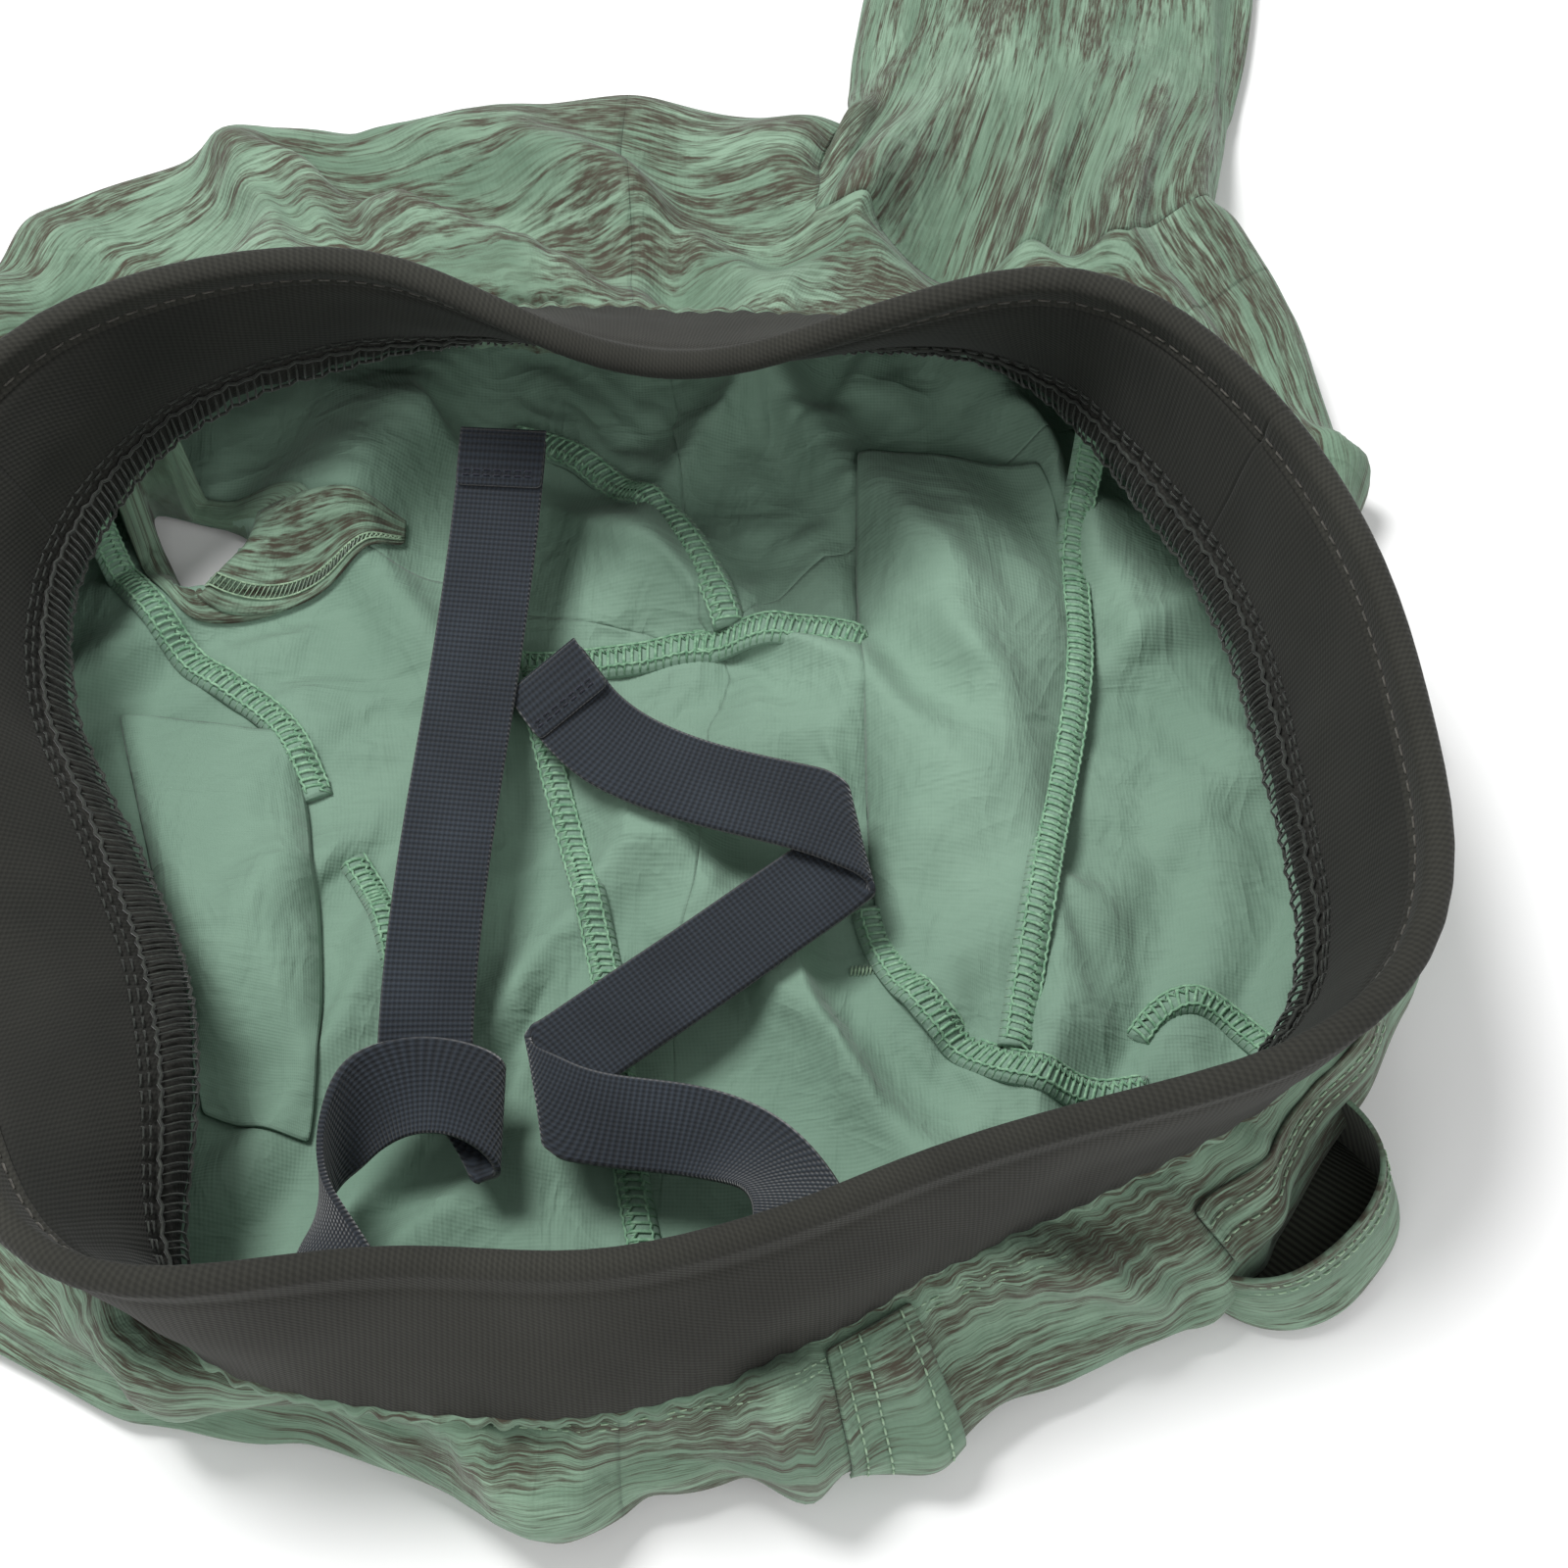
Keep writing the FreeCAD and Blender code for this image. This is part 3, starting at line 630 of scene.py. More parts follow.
def add_leg(cloth, rim, angles):
    """Rings and faces of the left leg; gives the last ring."""
    rim_points = [(cloth.points[v].copy(), a) for v, a in zip(rim, angles)]
    before = rim
    for n in range(1, LEG_RINGS + 1):
        share = n / LEG_RINGS
        row = [cloth.add(p) for p in leg_section(rim_points, share)]
        low, high = LEG_LENGTH * (n - 1) / LEG_RINGS, LEG_LENGTH * share
        for k in range(len(row)):
            m = (k + 1) % len(row)
            u, w = k * LEG_CELL, (k + 1) * LEG_CELL
            cloth.face((before[k], row[k], row[m], before[m]), [(low, u), (high, u), (high, w), (low, w)], LEG_TAG)
        before = row
    return before


def shell_cloth():
    """The whole shell as one sheet: wall, floor and left leg, with its panels tagged."""
    turns, girth = column_turns()
    cloth = Cloth()
    rows = wall_rows(cloth, turns)
    rows += floor_rows(cloth, turns)
    centre = cloth.add(CROTCH + Vector((0, 0, 0.001)))
    ends = [turn_of(LEG_ROOT + FOLD_AXIS * s - LEG_WAY * 0.003) % (2 * math.pi) for s in (0.045, -0.045)]
    way_in = [int(np.argmin(np.abs(turns - end))) for end in ends]
    wall_and_floor_faces(cloth, rows, centre, [panel_of(t) for t in turns], girth / COLUMNS, way_in)
    rim, angles = leg_rim(rows, way_in)
    first_leg = len(cloth.points)
    return cloth, rows, add_leg(cloth, rim, angles), first_leg


SETTLING_FRAMES = 30
CLOTH_FEEL = {
    "quality": 6, "mass": 0.15, "tension_stiffness": 14, "compression_stiffness": 14, "shear_stiffness": 6,
    "bending_stiffness": 0.6, "tension_damping": 8, "compression_damping": 8, "shear_damping": 8,
    "bending_damping": 0.6, "air_damping": 2.0, "pin_stiffness": 1.0,
}
CLOTH_TOUCH = {
    "distance_min": 0.0012, "use_self_collision": True, "self_distance_min": 0.0013, "self_friction": 6.0,
    "collision_quality": 2,
}


def settle(cloth, rows, first_leg, frames):
    """Lets the sheet buckle and sink into soft folds; returns the points it comes to rest at."""
    obj = mesh_object("shell_trial", cloth.points, cloth.faces)
    obj.shape_key_add(name="Basis")
    rest = obj.shape_key_add(name="Rest")
    leg_base = CROTCH + (LEG_ROOT - CROTCH) * 1.13
    for k, point in enumerate(cloth.points):
        if k >= first_leg:
            rest.data[k].co = leg_base + (point - LEG_ROOT) * 1.10
            continue
        near_seam = max(0.0, 1.0 - max(0.0, on_ring(SEAM, turn_of(point)).z - point.z) / 0.02)
        away, grow = point - CROTCH, 1.13 + 0.06 * near_seam
        rest.data[k].co = CROTCH + Vector((away.x * grow, away.y * grow, away.z * 1.25))
    group = obj.vertex_groups.new(name="pinned")
    wall = [v for row in rows[1:WALL_ROWS + 2] for v in row]
    floor = [v for row in rows[WALL_ROWS + 2:] for v in row]
    leg = list(range(first_leg, len(cloth.points)))
    for members, hold in ((rows[0], 1.0), (wall, 0.1), (floor, 0.06), (leg, 0.15)):
        group.add(members, hold, "REPLACE")
    modifier = obj.modifiers.new("cloth", "CLOTH")
    for key, value in CLOTH_FEEL.items():
        setattr(modifier.settings, key, value)
    modifier.settings.rest_shape_key = rest
    modifier.settings.vertex_group_mass = "pinned"
    modifier.settings.effector_weights.gravity = 0.5
    for key, value in CLOTH_TOUCH.items():
        setattr(modifier.collision_settings, key, value)
    bpy.ops.object.select_all(action="DESELECT")
    bpy.ops.mesh.primitive_plane_add(size=2.0, location=(0, 0, 0))
    ground = bpy.context.object
    ground.modifiers.new("collision", "COLLISION")
    ground.collision.thickness_outer = 0.001
    ground.collision.cloth_friction = 8.0
    scene = bpy.context.scene
    modifier.point_cache.frame_start, modifier.point_cache.frame_end = 1, frames
    for f in range(1, frames + 1):
        scene.frame_set(f)
    graph = bpy.context.evaluated_depsgraph_get()
    settled = obj.evaluated_get(graph).data
    points = [v.co.copy() for v in settled.vertices]
    bpy.data.objects.remove(obj)
    bpy.data.objects.remove(ground)
    scene.frame_set(1)
    return points


HEM_HOLE = [(-148, 91), (-140, 89), (-130, 86), (-121, 83), (-121, 78), (-126, 70), (-132, 62),
            (-136, 66), (-141, 76)]


def loop_through(points, count):
    """Evenly spread points on a closed smooth loop."""
    rows = np.array([(p.x, p.y) for p in points])
    out = []
    for t in np.linspace(0, len(rows), count, endpoint=False):
        k, s = int(t), t - int(t)
        a, b, c, d = (rows[(k + j) % len(rows)] for j in (-1, 0, 1, 2))
        out.append((a * (1 - s) ** 3 + b * (3 * s ** 3 - 6 * s * s + 4)
                    + c * (-3 * s ** 3 + 3 * s * s + 3 * s + 1) + d * s ** 3) / 6)
    return np.array(out)


def inside(loop, spot):
    hits, j = False, len(loop) - 1
    for i in range(len(loop)):
        if (loop[i][1] > spot.y) != (loop[j][1] > spot.y):
            cut = (loop[j][0] - loop[i][0]) * (spot.y - loop[i][1]) / (loop[j][1] - loop[i][1]) + loop[i][0]
            if spot.x < cut:
                hits = not hits
        j = i
    return hits


def cut_hem_hole(obj):
    """Takes the right leg's opening out of the floor and gives it a smooth edge."""
    loop = loop_through([plan(x, y) for x, y in HEM_HOLE], 160)
    middle = Vector((loop[:, 0].mean(), loop[:, 1].mean(), 0))
    work = bmesh.new()
    work.from_mesh(obj.data)
    gone = []
    for face in work.faces:
        spot = face.calc_center_median()
        if spot.z < 0.03 and (spot.xy - middle.xy).length < 0.03 and inside(loop, spot):
            gone.append(face)
    bmesh.ops.delete(work, geom=gone, context="FACES")
    for vert in work.verts:
        if vert.is_boundary and (vert.co.xy - middle.xy).length < 0.035 and vert.co.z < 0.03:
            near = np.hypot(loop[:, 0] - vert.co.x, loop[:, 1] - vert.co.y)
            k = int(near.argmin())
            vert.co.x, vert.co.y = loop[k]
            vert.co.z = max(0.001, vert.co.z * 0.4)
    work.to_mesh(obj.data)
    work.free()


def push_under_straps(points, gap, z_floor=0.001):
    """Lowers points that lie under a strap so that the strap rests above them."""
    for k, p in enumerate(points):
        far = np.hypot(STRAP_LINE[:, 0] - p[0], STRAP_LINE[:, 1] - p[1])
        near = far < 0.024
        if not near.any():
            continue
        limit = (STRAP_LINE[near, 2] - gap + np.maximum(0.0, far[near] - 0.0115) * 1.1).min()
        if p[2] > limit:
            points[k][2] = max(z_floor, limit)
    return points


def build_shell():
    cloth, rows, hem, first_leg = shell_cloth()
    points = cloth.points
    points = settle(cloth, rows, first_leg, SETTLING_FRAMES)
    whole = mesh_object("shell", points, cloth.faces)
    layer = whole.data.uv_layers.new(name="cloth")
    layer.data.foreach_set("uv", np.array(cloth.corners, np.float32).ravel())
    for _ in range(len(PANELS) + 1):
        whole.data.materials.append(SHELL_OUTSIDE)
        whole.data.materials.append(SHELL_INSIDE)
    whole.data.polygons.foreach_set("material_index", [2 * tag for tag in cloth.tags])
    smoother = whole.modifiers.new("rounder", "SUBSURF")
    smoother.levels = smoother.render_levels = 2
    apply_modifiers(whole)
    flat = np.zeros(len(whole.data.vertices) * 3)
    whole.data.vertices.foreach_get("co", flat)
    spots = flat.reshape(-1, 3)
    gather(spots)
    push_under_straps(spots, 0.0048)
    spots[:, 2] = np.maximum(spots[:, 2], 0.0006)
    whole.data.vertices.foreach_set("co", spots.ravel())
    cut_hem_hole(whole)
    tree = BVHTree.FromPolygons([v.co.copy() for v in whole.data.vertices],
                                [tuple(p.vertices) for p in whole.data.polygons])
    split_panels(whole)
    return tree, points, hem


def gather(spots):
    """Small puckers where the shell is eased onto the waistband."""
    for k, p in enumerate(spots):
        turn = math.atan2(p[1] - MIDDLE.y, p[0] - MIDDLE.x)
        drop = on_ring(SEAM, turn).z - p[2]
        if not -0.004 < drop < 0.022:
            continue
        reach = math.hypot(p[0] - MIDDLE.x, p[1] - MIDDLE.y)
        full = 0.35 + 0.65 * (abs(math.sin(turn * 1.7 + 0.6)) ** 2)
        ripple = math.sin(turn * 118 + 2.2 * noise.noise(Vector((turn * 9, 0.3, 0.0))))
        size = 0.0011 * full * math.exp(-max(0.0, drop) / 0.008) * (1 if drop > 0.001 else 0.4)
        spots[k][0] += (p[0] - MIDDLE.x) / reach * ripple * size
        spots[k][1] += (p[1] - MIDDLE.y) / reach * ripple * size


SHELL_THICKNESS = 0.0007


def split_panels(whole):
    """One sheet for each panel, and one for the left leg."""
    for tag, name in enumerate(PANELS + ("left_leg_panel",)):
        part = new_object(name.replace("panel", "shell"), whole.data.copy())
        work = bmesh.new()
        work.from_mesh(part.data)
        bmesh.ops.delete(work, geom=[f for f in work.faces if f.material_index // 2 != tag], context="FACES")
        for face in work.faces:
            face.material_index = 0
        work.to_mesh(part.data)
        work.free()
        part.data.materials.clear()
        part.data.materials.append(SHELL_OUTSIDE)
        part.data.materials.append(SHELL_INSIDE)
        thicken(part, SHELL_THICKNESS, inner_slot=1)
        if tag == LEG_TAG:
            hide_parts("left_leg_front", "left_leg_back")
            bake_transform(part)
        else:
            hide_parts(name)
            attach(part, "shorts")
    bpy.data.objects.remove(whole)


# --- loose pieces put together from grids and tubes ---------------------------------------
class Work:
    """Grids and tubes that become one piece, each with its own finish."""

    def __init__(self):
        self.points, self.faces, self.flats, self.marks = [], [], [], []

    def grid(self, rows, flats, mark=0, closed=False):
        base, wide = len(self.points), len(rows[0])
        self.points += [tuple(p) for row in rows for p in row]
        for r in range(len(rows) - 1):
            for k in range(wide if closed else wide - 1):
                n = (k + 1) % wide
                spots = (r * wide + k, r * wide + n, (r + 1) * wide + n, (r + 1) * wide + k)
                self.faces.append(tuple(base + s for s in spots))
                self.marks.append(mark)
                self.flats += [flats(r, k), flats(r, k + 1), flats(r + 1, k + 1), flats(r + 1, k)]

    def tube(self, line, radius, sides=5, mark=0):
        line = [Vector(p) for p in line]
        rows, side = [], None
        for k, point in enumerate(line):
            way = (line[min(k + 1, len(line) - 1)] - line[max(k - 1, 0)]).normalized()
            if side is None:
                side = way.orthogonal().normalized()
            side = (side - way * side.dot(way)).normalized()
            other = way.cross(side)
            thin = 0.45 if k in (0, len(line) - 1) else 1.0
            rows.append([point + (side * math.cos(a) + other * math.sin(a)) * (radius * thin)
                         for a in (2 * math.pi * j / sides for j in range(sides))])
        self.grid(rows, lambda r, k: (k * radius, r * radius * 2), mark, True)
        self.lids(len(line), sides, mark)

    def lids(self, long, sides, mark):
        """Closes both ends of the closed grid added last."""
        base = len(self.points) - long * sides
        for lid, first in ((list(range(sides))[::-1], base), (range(sides), base + (long - 1) * sides)):
            self.faces.append(tuple(first + j for j in lid))
            self.marks.append(mark)
            self.flats += [(0, 0)] * sides

    def piece(self, name, materials, body, slot, wall=0.0, levels=0, stands_for=(), cut=None):
        """The piece itself; cut, its flat width and how it is held if it is a sheet, is not used."""
        mesh = bpy.data.meshes.new(name)
        mesh.from_pydata(self.points, [], self.faces)
        layer = mesh.uv_layers.new(name="cloth")
        layer.data.foreach_set("uv", np.array(self.flats, np.float32).ravel())
        for material in materials:
            mesh.materials.append(material)
        mesh.polygons.foreach_set("material_index", self.marks)
        mesh.polygons.foreach_set("use_smooth", [True] * len(mesh.polygons))
        joined = bmesh.new()
        joined.from_mesh(mesh)
        bmesh.ops.remove_doubles(joined, verts=joined.verts, dist=0.000001)
        joined.to_mesh(mesh)
        joined.free()
        made = new_object(name, mesh)
        if wall:
            thicken(made, wall, levels)
        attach(made, body)
        if stands_for:
            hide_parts(*stands_for)
        return made


ON_CLOTH = 0.0007      # how far a stitch row's points lie off the middle of its cloth


def sew_along(work, line, up):
    """A row of stitches along a few points of a line."""
    fine = smooth_line(line, 0.0004)
    stitch_row(work, fine, [up] * len(fine))


def spline(table, count):
    """Points along the clamped cubic spline that has the table's rows as its control points."""
    rows = np.array(table, float)
    spans = len(rows) - 3
    knots = [0] * 3 + list(range(spans + 1)) + [spans] * 3
    out = []
    for t in np.linspace(0, spans, count):
        k = min(int(t), spans - 1) + 3
        near = [rows[k - 3 + j] for j in range(4)]
        for r in range(1, 4):
            for j in range(3, r - 1, -1):
                low, high = knots[j + k - 3], knots[j + 1 + k - r]
                a = (t - low) / (high - low)
                near[j] = (1 - a) * near[j - 1] + a * near[j]
        out.append(near[3])
    return np.array(out)


def smooth_line(points, step):
    """Points every step along a line through a few control points, ends kept."""
    table = [tuple(p) for p in points]
    while len(table) < 4:
        table = [table[0]] + [tuple(np.add(a, b) / 2) for a, b in zip(table, table[1:])] + [table[-1]]
    fine = spline(table, 200)
    walk = np.concatenate([[0], np.cumsum(np.linalg.norm(np.diff(fine, axis=0), axis=1))])
    count = max(3, int(walk[-1] / step) + 1)
    even = np.linspace(0, walk[-1], count)
    return np.stack([np.interp(even, walk, fine[:, i]) for i in range(fine.shape[1])], 1)


def stitch_row(work, line, normals, length=0.0024, gap=0.0007, radius=0.00022):
    """A row of single stitches along points that are close together on a surface."""
    line = [Vector(p) for p in line]
    walk, start = 0.0, 0
    for k in range(1, len(line)):
        walk += (line[k] - line[k - 1]).length
        if walk >= length and k > start:
            a, b = line[start], line[k]
            up = Vector(normals[start])
            middle = (a + b) / 2 + up * radius * 0.9
            inner = a.lerp(b, gap / length / 2), b.lerp(a, gap / length / 2)
            work.tube([inner[0] - up * radius, inner[0].lerp(middle, 0.3) + up * radius * 0.6, middle,
                       inner[1].lerp(middle, 0.3) + up * radius * 0.6, inner[1] - up * radius], radius)
            start, walk = k, 0.0


def drape(tree, x, y, lift=0.0, top=0.07):
    """Point and normal where something dropped at a place lands."""
    hit, normal, _, _ = tree.ray_cast(Vector((x, y, top)), Vector((0, 0, -1)))
    if hit is None:
        return Vector((x, y, 0.001 + lift)), Vector((0, 0, 1))
    if normal.z < 0:
        normal = -normal
    return hit + Vector((0, 0, lift)), normal


def overlock(name, points, tree, replaced=(), width=0.007, tall=0.0019, lift=0.0008, pitch=0.0018):
    """A raised seam under overlock thread that lies on the cloth along a line of the plan."""
    line = smooth_line([plan(x, y).xy for x, y in points], 0.0014)
    spots = [drape(tree, x, y, lift)[0] for x, y in line]
    heights = np.array([p.z for p in spots])
    for _ in range(3):
        heights[1:-1] = np.maximum(heights[1:-1], (heights[:-2] + 2 * heights[1:-1] + heights[2:]) / 4)
    for p, z in zip(spots, heights):
        p.z = z
    work, rows, sides = Work(), [], []
    for k, p in enumerate(spots):
        way = (spots[min(k + 1, len(spots) - 1)] - spots[max(k - 1, 0)]).normalized()
        side = Vector((-way.y, way.x, 0)).normalized()
        sides.append(side)
        row = []
        for j in range(9):
            s = 1 - j / 4
            rise = tall * (1 - s * s) ** 0.6 * (1 + 0.12 * math.sin(k * 1.9))
            row.append(p + side * (s * width / 2) + Vector((0, 0, rise)))
        row += [q - Vector((0, 0, 0.0012 + (q.z - p.z) * 0.9)) for q in reversed(row)]
        rows.append(row)
    work.grid(rows, lambda r, k: (k * width / 8, r * 0.0014), 0, True)
    work.lids(len(rows), len(rows[0]), 0)
    walk = [0.0]
    for a, b in zip(spots, spots[1:]):
        walk.append(walk[-1] + (b - a).length)

    def at(distance, share, high):
        k = min(len(spots) - 2, max(0, int(np.searchsorted(walk, distance)) - 1))
        t = (distance - walk[k]) / max(1e-6, walk[k + 1] - walk[k])
        spot = spots[k].lerp(spots[k + 1], t) + sides[k] * (share * width / 2)
        spot.z += tall * (1 - share * share) ** 0.6 + high
        return spot

    count = int(walk[-1] / pitch)
    for n in range(count):
        s = n * pitch
        line_a = [at(s, -0.98, -0.0001), at(s + pitch * 0.2, -0.5, 0.0003), at(s + pitch * 0.45, 0.1, 0.0004),
                  at(s + pitch * 0.7, 0.6, 0.0003), at(s + pitch * 0.85, 0.98, -0.0001)]
        work.tube(line_a, 0.00042, 4, 1)
        work.tube([at(s + pitch * 0.85, 0.98, 0), at(s + pitch * 0.9, 0.55, 0.0004),
                   at(s + pitch * 1.2, 0.3, 0.0004), at(s + pitch * 1.8, 0.9, 0)], 0.00036, 4, 1)
    for share in (-0.55, 0.92):
        edge = [at(s * 0.0009, share + 0.06 * math.sin(s * 2.6), 0.00035) for s in range(int(walk[-1] / 0.0009))]
        work.tube(edge, 0.00034, 5, 1)
    work.piece(name, (SHELL_INSIDE, SEAM_THREAD), "shorts", "seam_thread", stands_for=replaced)


# --- straps -------------------------------------------------------------------------------
STRAP_W, STRAP_T = 0.019, 0.0013
RIGHT_STRAP = [
    ((-62, 90, 31), (1, 0, 0)), ((-63, 70, 27), (1, 0, 0)), ((-66, 34, 23), (1, 0, 0)),
    ((-70, -4, 22), (1, 0, 0)), ((-72, -36, 20), (1, -0.05, 0)), ((-72, -56, 18), (0.95, -0.3, 0)),
    ((-70, -66, 17), (0.7, -0.7, 0)), ((-64, -70, 17.5), (0.3, -0.95, 0)), ((-58, -70, 18.5), (0, -1, 0)),
    ((-54.5, -68.5, 21.5), (0, -1, 0)), ((-57, -66, 25.5), (0, -1, 0)), ((-64, -63, 27), (0, -1, 0)),
    ((-74, -62, 26.5), (0.1, -1, -0.3)), ((-84, -66, 24), (0.2, -0.8, -0.8)),
    ((-89, -76, 23), (0.1, -0.2, -1)), ((-89, -87, 26), (-0.2, 0, -1)), ((-86, -98, 32), (-0.7, 0, -0.8)),
    ((-82, -108, 39), (-0.9, 0, -0.4)),
]
LEFT_STRAP = [
    ((-51, 34, 23), (0.35, 0.85, 0.3)), ((-47, 28, 23), (0.35, 0.85, 0.3)), ((-43, 22, 22.8), (0.33, 0.86, 0.25)),
    ((-34, 14, 22.5), (0.25, 0.95, 0.1)),
    ((-18, 7, 22.5), (0.1, 1, 0)), ((0, 2, 23.5), (0.05, 1, 0)), ((12, -3, 26), (-0.1, 1, 0)),
    ((17.5, -7, 24), (-0.2, 1, 0)), ((13, -11, 20.5), (-0.4, 0.9, 0)), ((0, -20, 19), (-0.5, 0.85, 0)),
    ((-18, -34, 18.5), (-0.5, 0.85, 0)), ((-36, -47, 18), (-0.5, 0.85, 0)), ((-46, -55, 18), (-0.4, 0.9, 0)),
    ((-50.5, -60, 20), (-0.2, 1, 0)), ((-47, -65, 22.8), (-0.1, 1, 0)), ((-36, -69, 23), (0, 1, 0)),
    ((-20, -70, 23), (0.15, 1, 0)), ((-7, -74, 24), (0.5, 0.8, -0.2)), ((1, -82, 28), (0.8, 0.4, -0.5)),
    ((4, -92, 35), (0.9, 0.2, -0.4)), ((3, -101, 42), (0.9, 0.3, -0.1)),
]


def strap_line(route, joint, way):
    """Middle points, half widths and face normals along a strap, in metres."""
    hinge = Vector(JOINTS[joint]["pos_m"])
    turn = turn_of(hinge)
    up = (on_ring(TOP, turn) - on_ring(SEAM, turn)).normalized()
    half = Vector(JOINTS[joint]["axis"]) * way
    rows = [tuple(plan(*spot)) + tuple(side) for spot, side in route]
    rows += [tuple(hinge - up * back) + tuple(half) for back in (0.009, 0.0045, 0.0)]
    fine = spline(rows, 40 * len(rows))
    walk = np.concatenate([[0], np.cumsum(np.linalg.norm(np.diff(fine[:, :3], axis=0), axis=1))])
    even = np.linspace(0, walk[-1], int(walk[-1] / 0.002) + 1)
    fine = np.stack([np.interp(even, walk, fine[:, i]) for i in range(6)], 1)
    out = []
    for k, row in enumerate(fine):
        along = Vector(fine[min(k + 1, len(fine) - 1), :3] - fine[max(k - 1, 0), :3]).normalized()
        # near the ends the width is square to the strap; at a fold it lies along the crease
        across = Vector(row[3:]).normalized()
        square = min(1.0, max(0.0, 1.6 - min(even[k], even[-1] - even[k]) / 0.012))
        across = (across - along * (across.dot(along) * square)).normalized()
        across *= min(1.15, 1 / max(0.1, across.cross(along).length))
        out.append((Vector(row[:3]), across, along.cross(across).normalized()))
    return out, walk[-1]


RIGHT_LINE, RIGHT_LENGTH = strap_line(RIGHT_STRAP, "right_strap_lift", -1)
LEFT_LINE, LEFT_LENGTH = strap_line(LEFT_STRAP, "left_strap_lift", 1)
STRAP_LINE = np.array([tuple(p - a * s) for line in (RIGHT_LINE, LEFT_LINE)
                       for p, a, n in line for s in (-0.006, 0.006)])


def webbing_grid(work, sections, width, mark=0):
    rows, leans = [], []
    for k, (spot, across, normal) in enumerate(sections):
        along = (sections[min(k + 1, len(sections) - 1)][0] - sections[max(k - 1, 0)][0]).normalized()
        leans.append(across.dot(along) * width / 2)
        rows.append([spot + across * (width / 2 * (j / 5 - 1)) for j in range(11)])
    work.grid(rows, lambda r, k: (k * width / 10, r * 0.002 + leans[r] * (k / 5 - 1)), mark)


def strap(name, body, line):
    work = Work()
    webbing_grid(work, line, STRAP_W)
    made = work.piece(name.replace("strap", "webbing"), (WEBBING,), body, "webbing", STRAP_T, 1, (name,))
    # the end, folded back on itself and sewn down
    spot, across, normal = line[0]
    along = (line[3][0] - spot).normalized()
    normal = normal * (1 if normal.z > 0 else -1)
    tab = Work()
    path = [(-0.0005, 0.0002), (-0.0013, 0.0008), (-0.0006, 0.0016), (0.0015, 0.0018), (0.004, 0.0018),
            (0.007, 0.0018), (0.010, 0.0018), (0.0125, 0.0017)]
    rows = [(spot + along * s + normal * h, across, normal) for s, h in path]
    webbing_grid(tab, rows, STRAP_W * 0.99)
    end = tab.piece(name + "_end", (WEBBING,), body, "webbing", STRAP_T * 0.9, 1, (name + "_tab",))
    thread = Work()
    for s in (0.0105, 0.0092):
        base = spot + along * s + normal * 0.0025
        row = [base + across * (STRAP_W * 0.44 * t) for t in np.linspace(-1, 1, 60)]
        stitch_row(thread, row, [normal] * 60, 0.0022, 0.0006, 0.0002)
    thread.piece(name + "_end_stitches", (STRAP_THREAD,), body, "strap_thread")


def strap_anchor(name, joint):
    """Bar of lockstitching that holds the strap's end to the facing."""
    hinge = Vector(JOINTS[joint]["pos_m"])
    turn = turn_of(hinge)
    up = (on_ring(TOP, turn) - on_ring(SEAM, turn)).normalized()
    axis = Vector(JOINTS[joint]["axis"])
    low, high = (Vector(c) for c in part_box(name))
    middle = (low + high) / 2
    work = Work()
    rows = []
    for k in range(45):
        t = k / 22 - 1
        flip = 1 if k % 2 else -1
        rows.append(middle + axis * (t * 0.0062) + up * (0.0021 * flip))
    work.tube(rows, 0.00045, 5)
    for high_at in (-0.0021, 0.0021):
        work.tube([middle + axis * (t * 0.0064) + up * high_at for t in np.linspace(-1, 1, 12)], 0.0004, 5)
    work.piece(name.replace("anchor", "lockstitch"), (STRAP_THREAD,), "shorts", "strap_thread", stands_for=(name,))


# --- waistband ----------------------------------------------------------------------------
BAND_COLUMNS = 480
BAND_HIGH = 0.04365     # waist seam to the middle of the rolled edge
ROLL = 0.00235          # round of the rolled edge, to the middle of the knit


def band_frames():
    frames = []
    seam = [on_ring(SEAM, 2 * math.pi * k / BAND_COLUMNS) for k in range(BAND_COLUMNS)]
    top = [on_ring(TOP, 2 * math.pi * k / BAND_COLUMNS) for k in range(BAND_COLUMNS)]
    walk = 0.0
    for k in range(BAND_COLUMNS):
        n = (k + 1) % BAND_COLUMNS
        along = (seam[n] + top[n] - seam[k - 1] - top[k - 1]).normalized()
        up = (top[k] - seam[k])
        tall = up.length
        up.normalize()
        frames.append((seam[k], up, along.cross(up).normalized(), tall / BAND_HIGH, walk))
        walk += (seam[n] + top[n] - seam[k] - top[k]).length / 2
    return frames, walk


BAND, GIRTH = band_frames()


def band_spot(k, out, high):
    """Point of the band: out from its middle layer, high above the waist seam."""
    seam, up, normal, stretch, walk = BAND[k % BAND_COLUMNS]
    turn = 2 * math.pi * k / BAND_COLUMNS
    soft = noise.noise(Vector((math.cos(turn) * 2.6, math.sin(turn) * 2.6, high * 26))) * 0.0024
    soft += noise.noise(Vector((math.cos(turn) * 9, math.sin(turn) * 9, high * 60 + 4))) * 0.0007
    hold = min(1.0, max(0.0, (0.040 - high) / 0.02))
    near_seam = max(0.0, 1.0 - abs(high) / 0.010)
    pucker = 0.0005 * near_seam * math.sin(turn * 118)
    return seam + normal * (out + soft * hold + pucker) + up * (high * stretch)


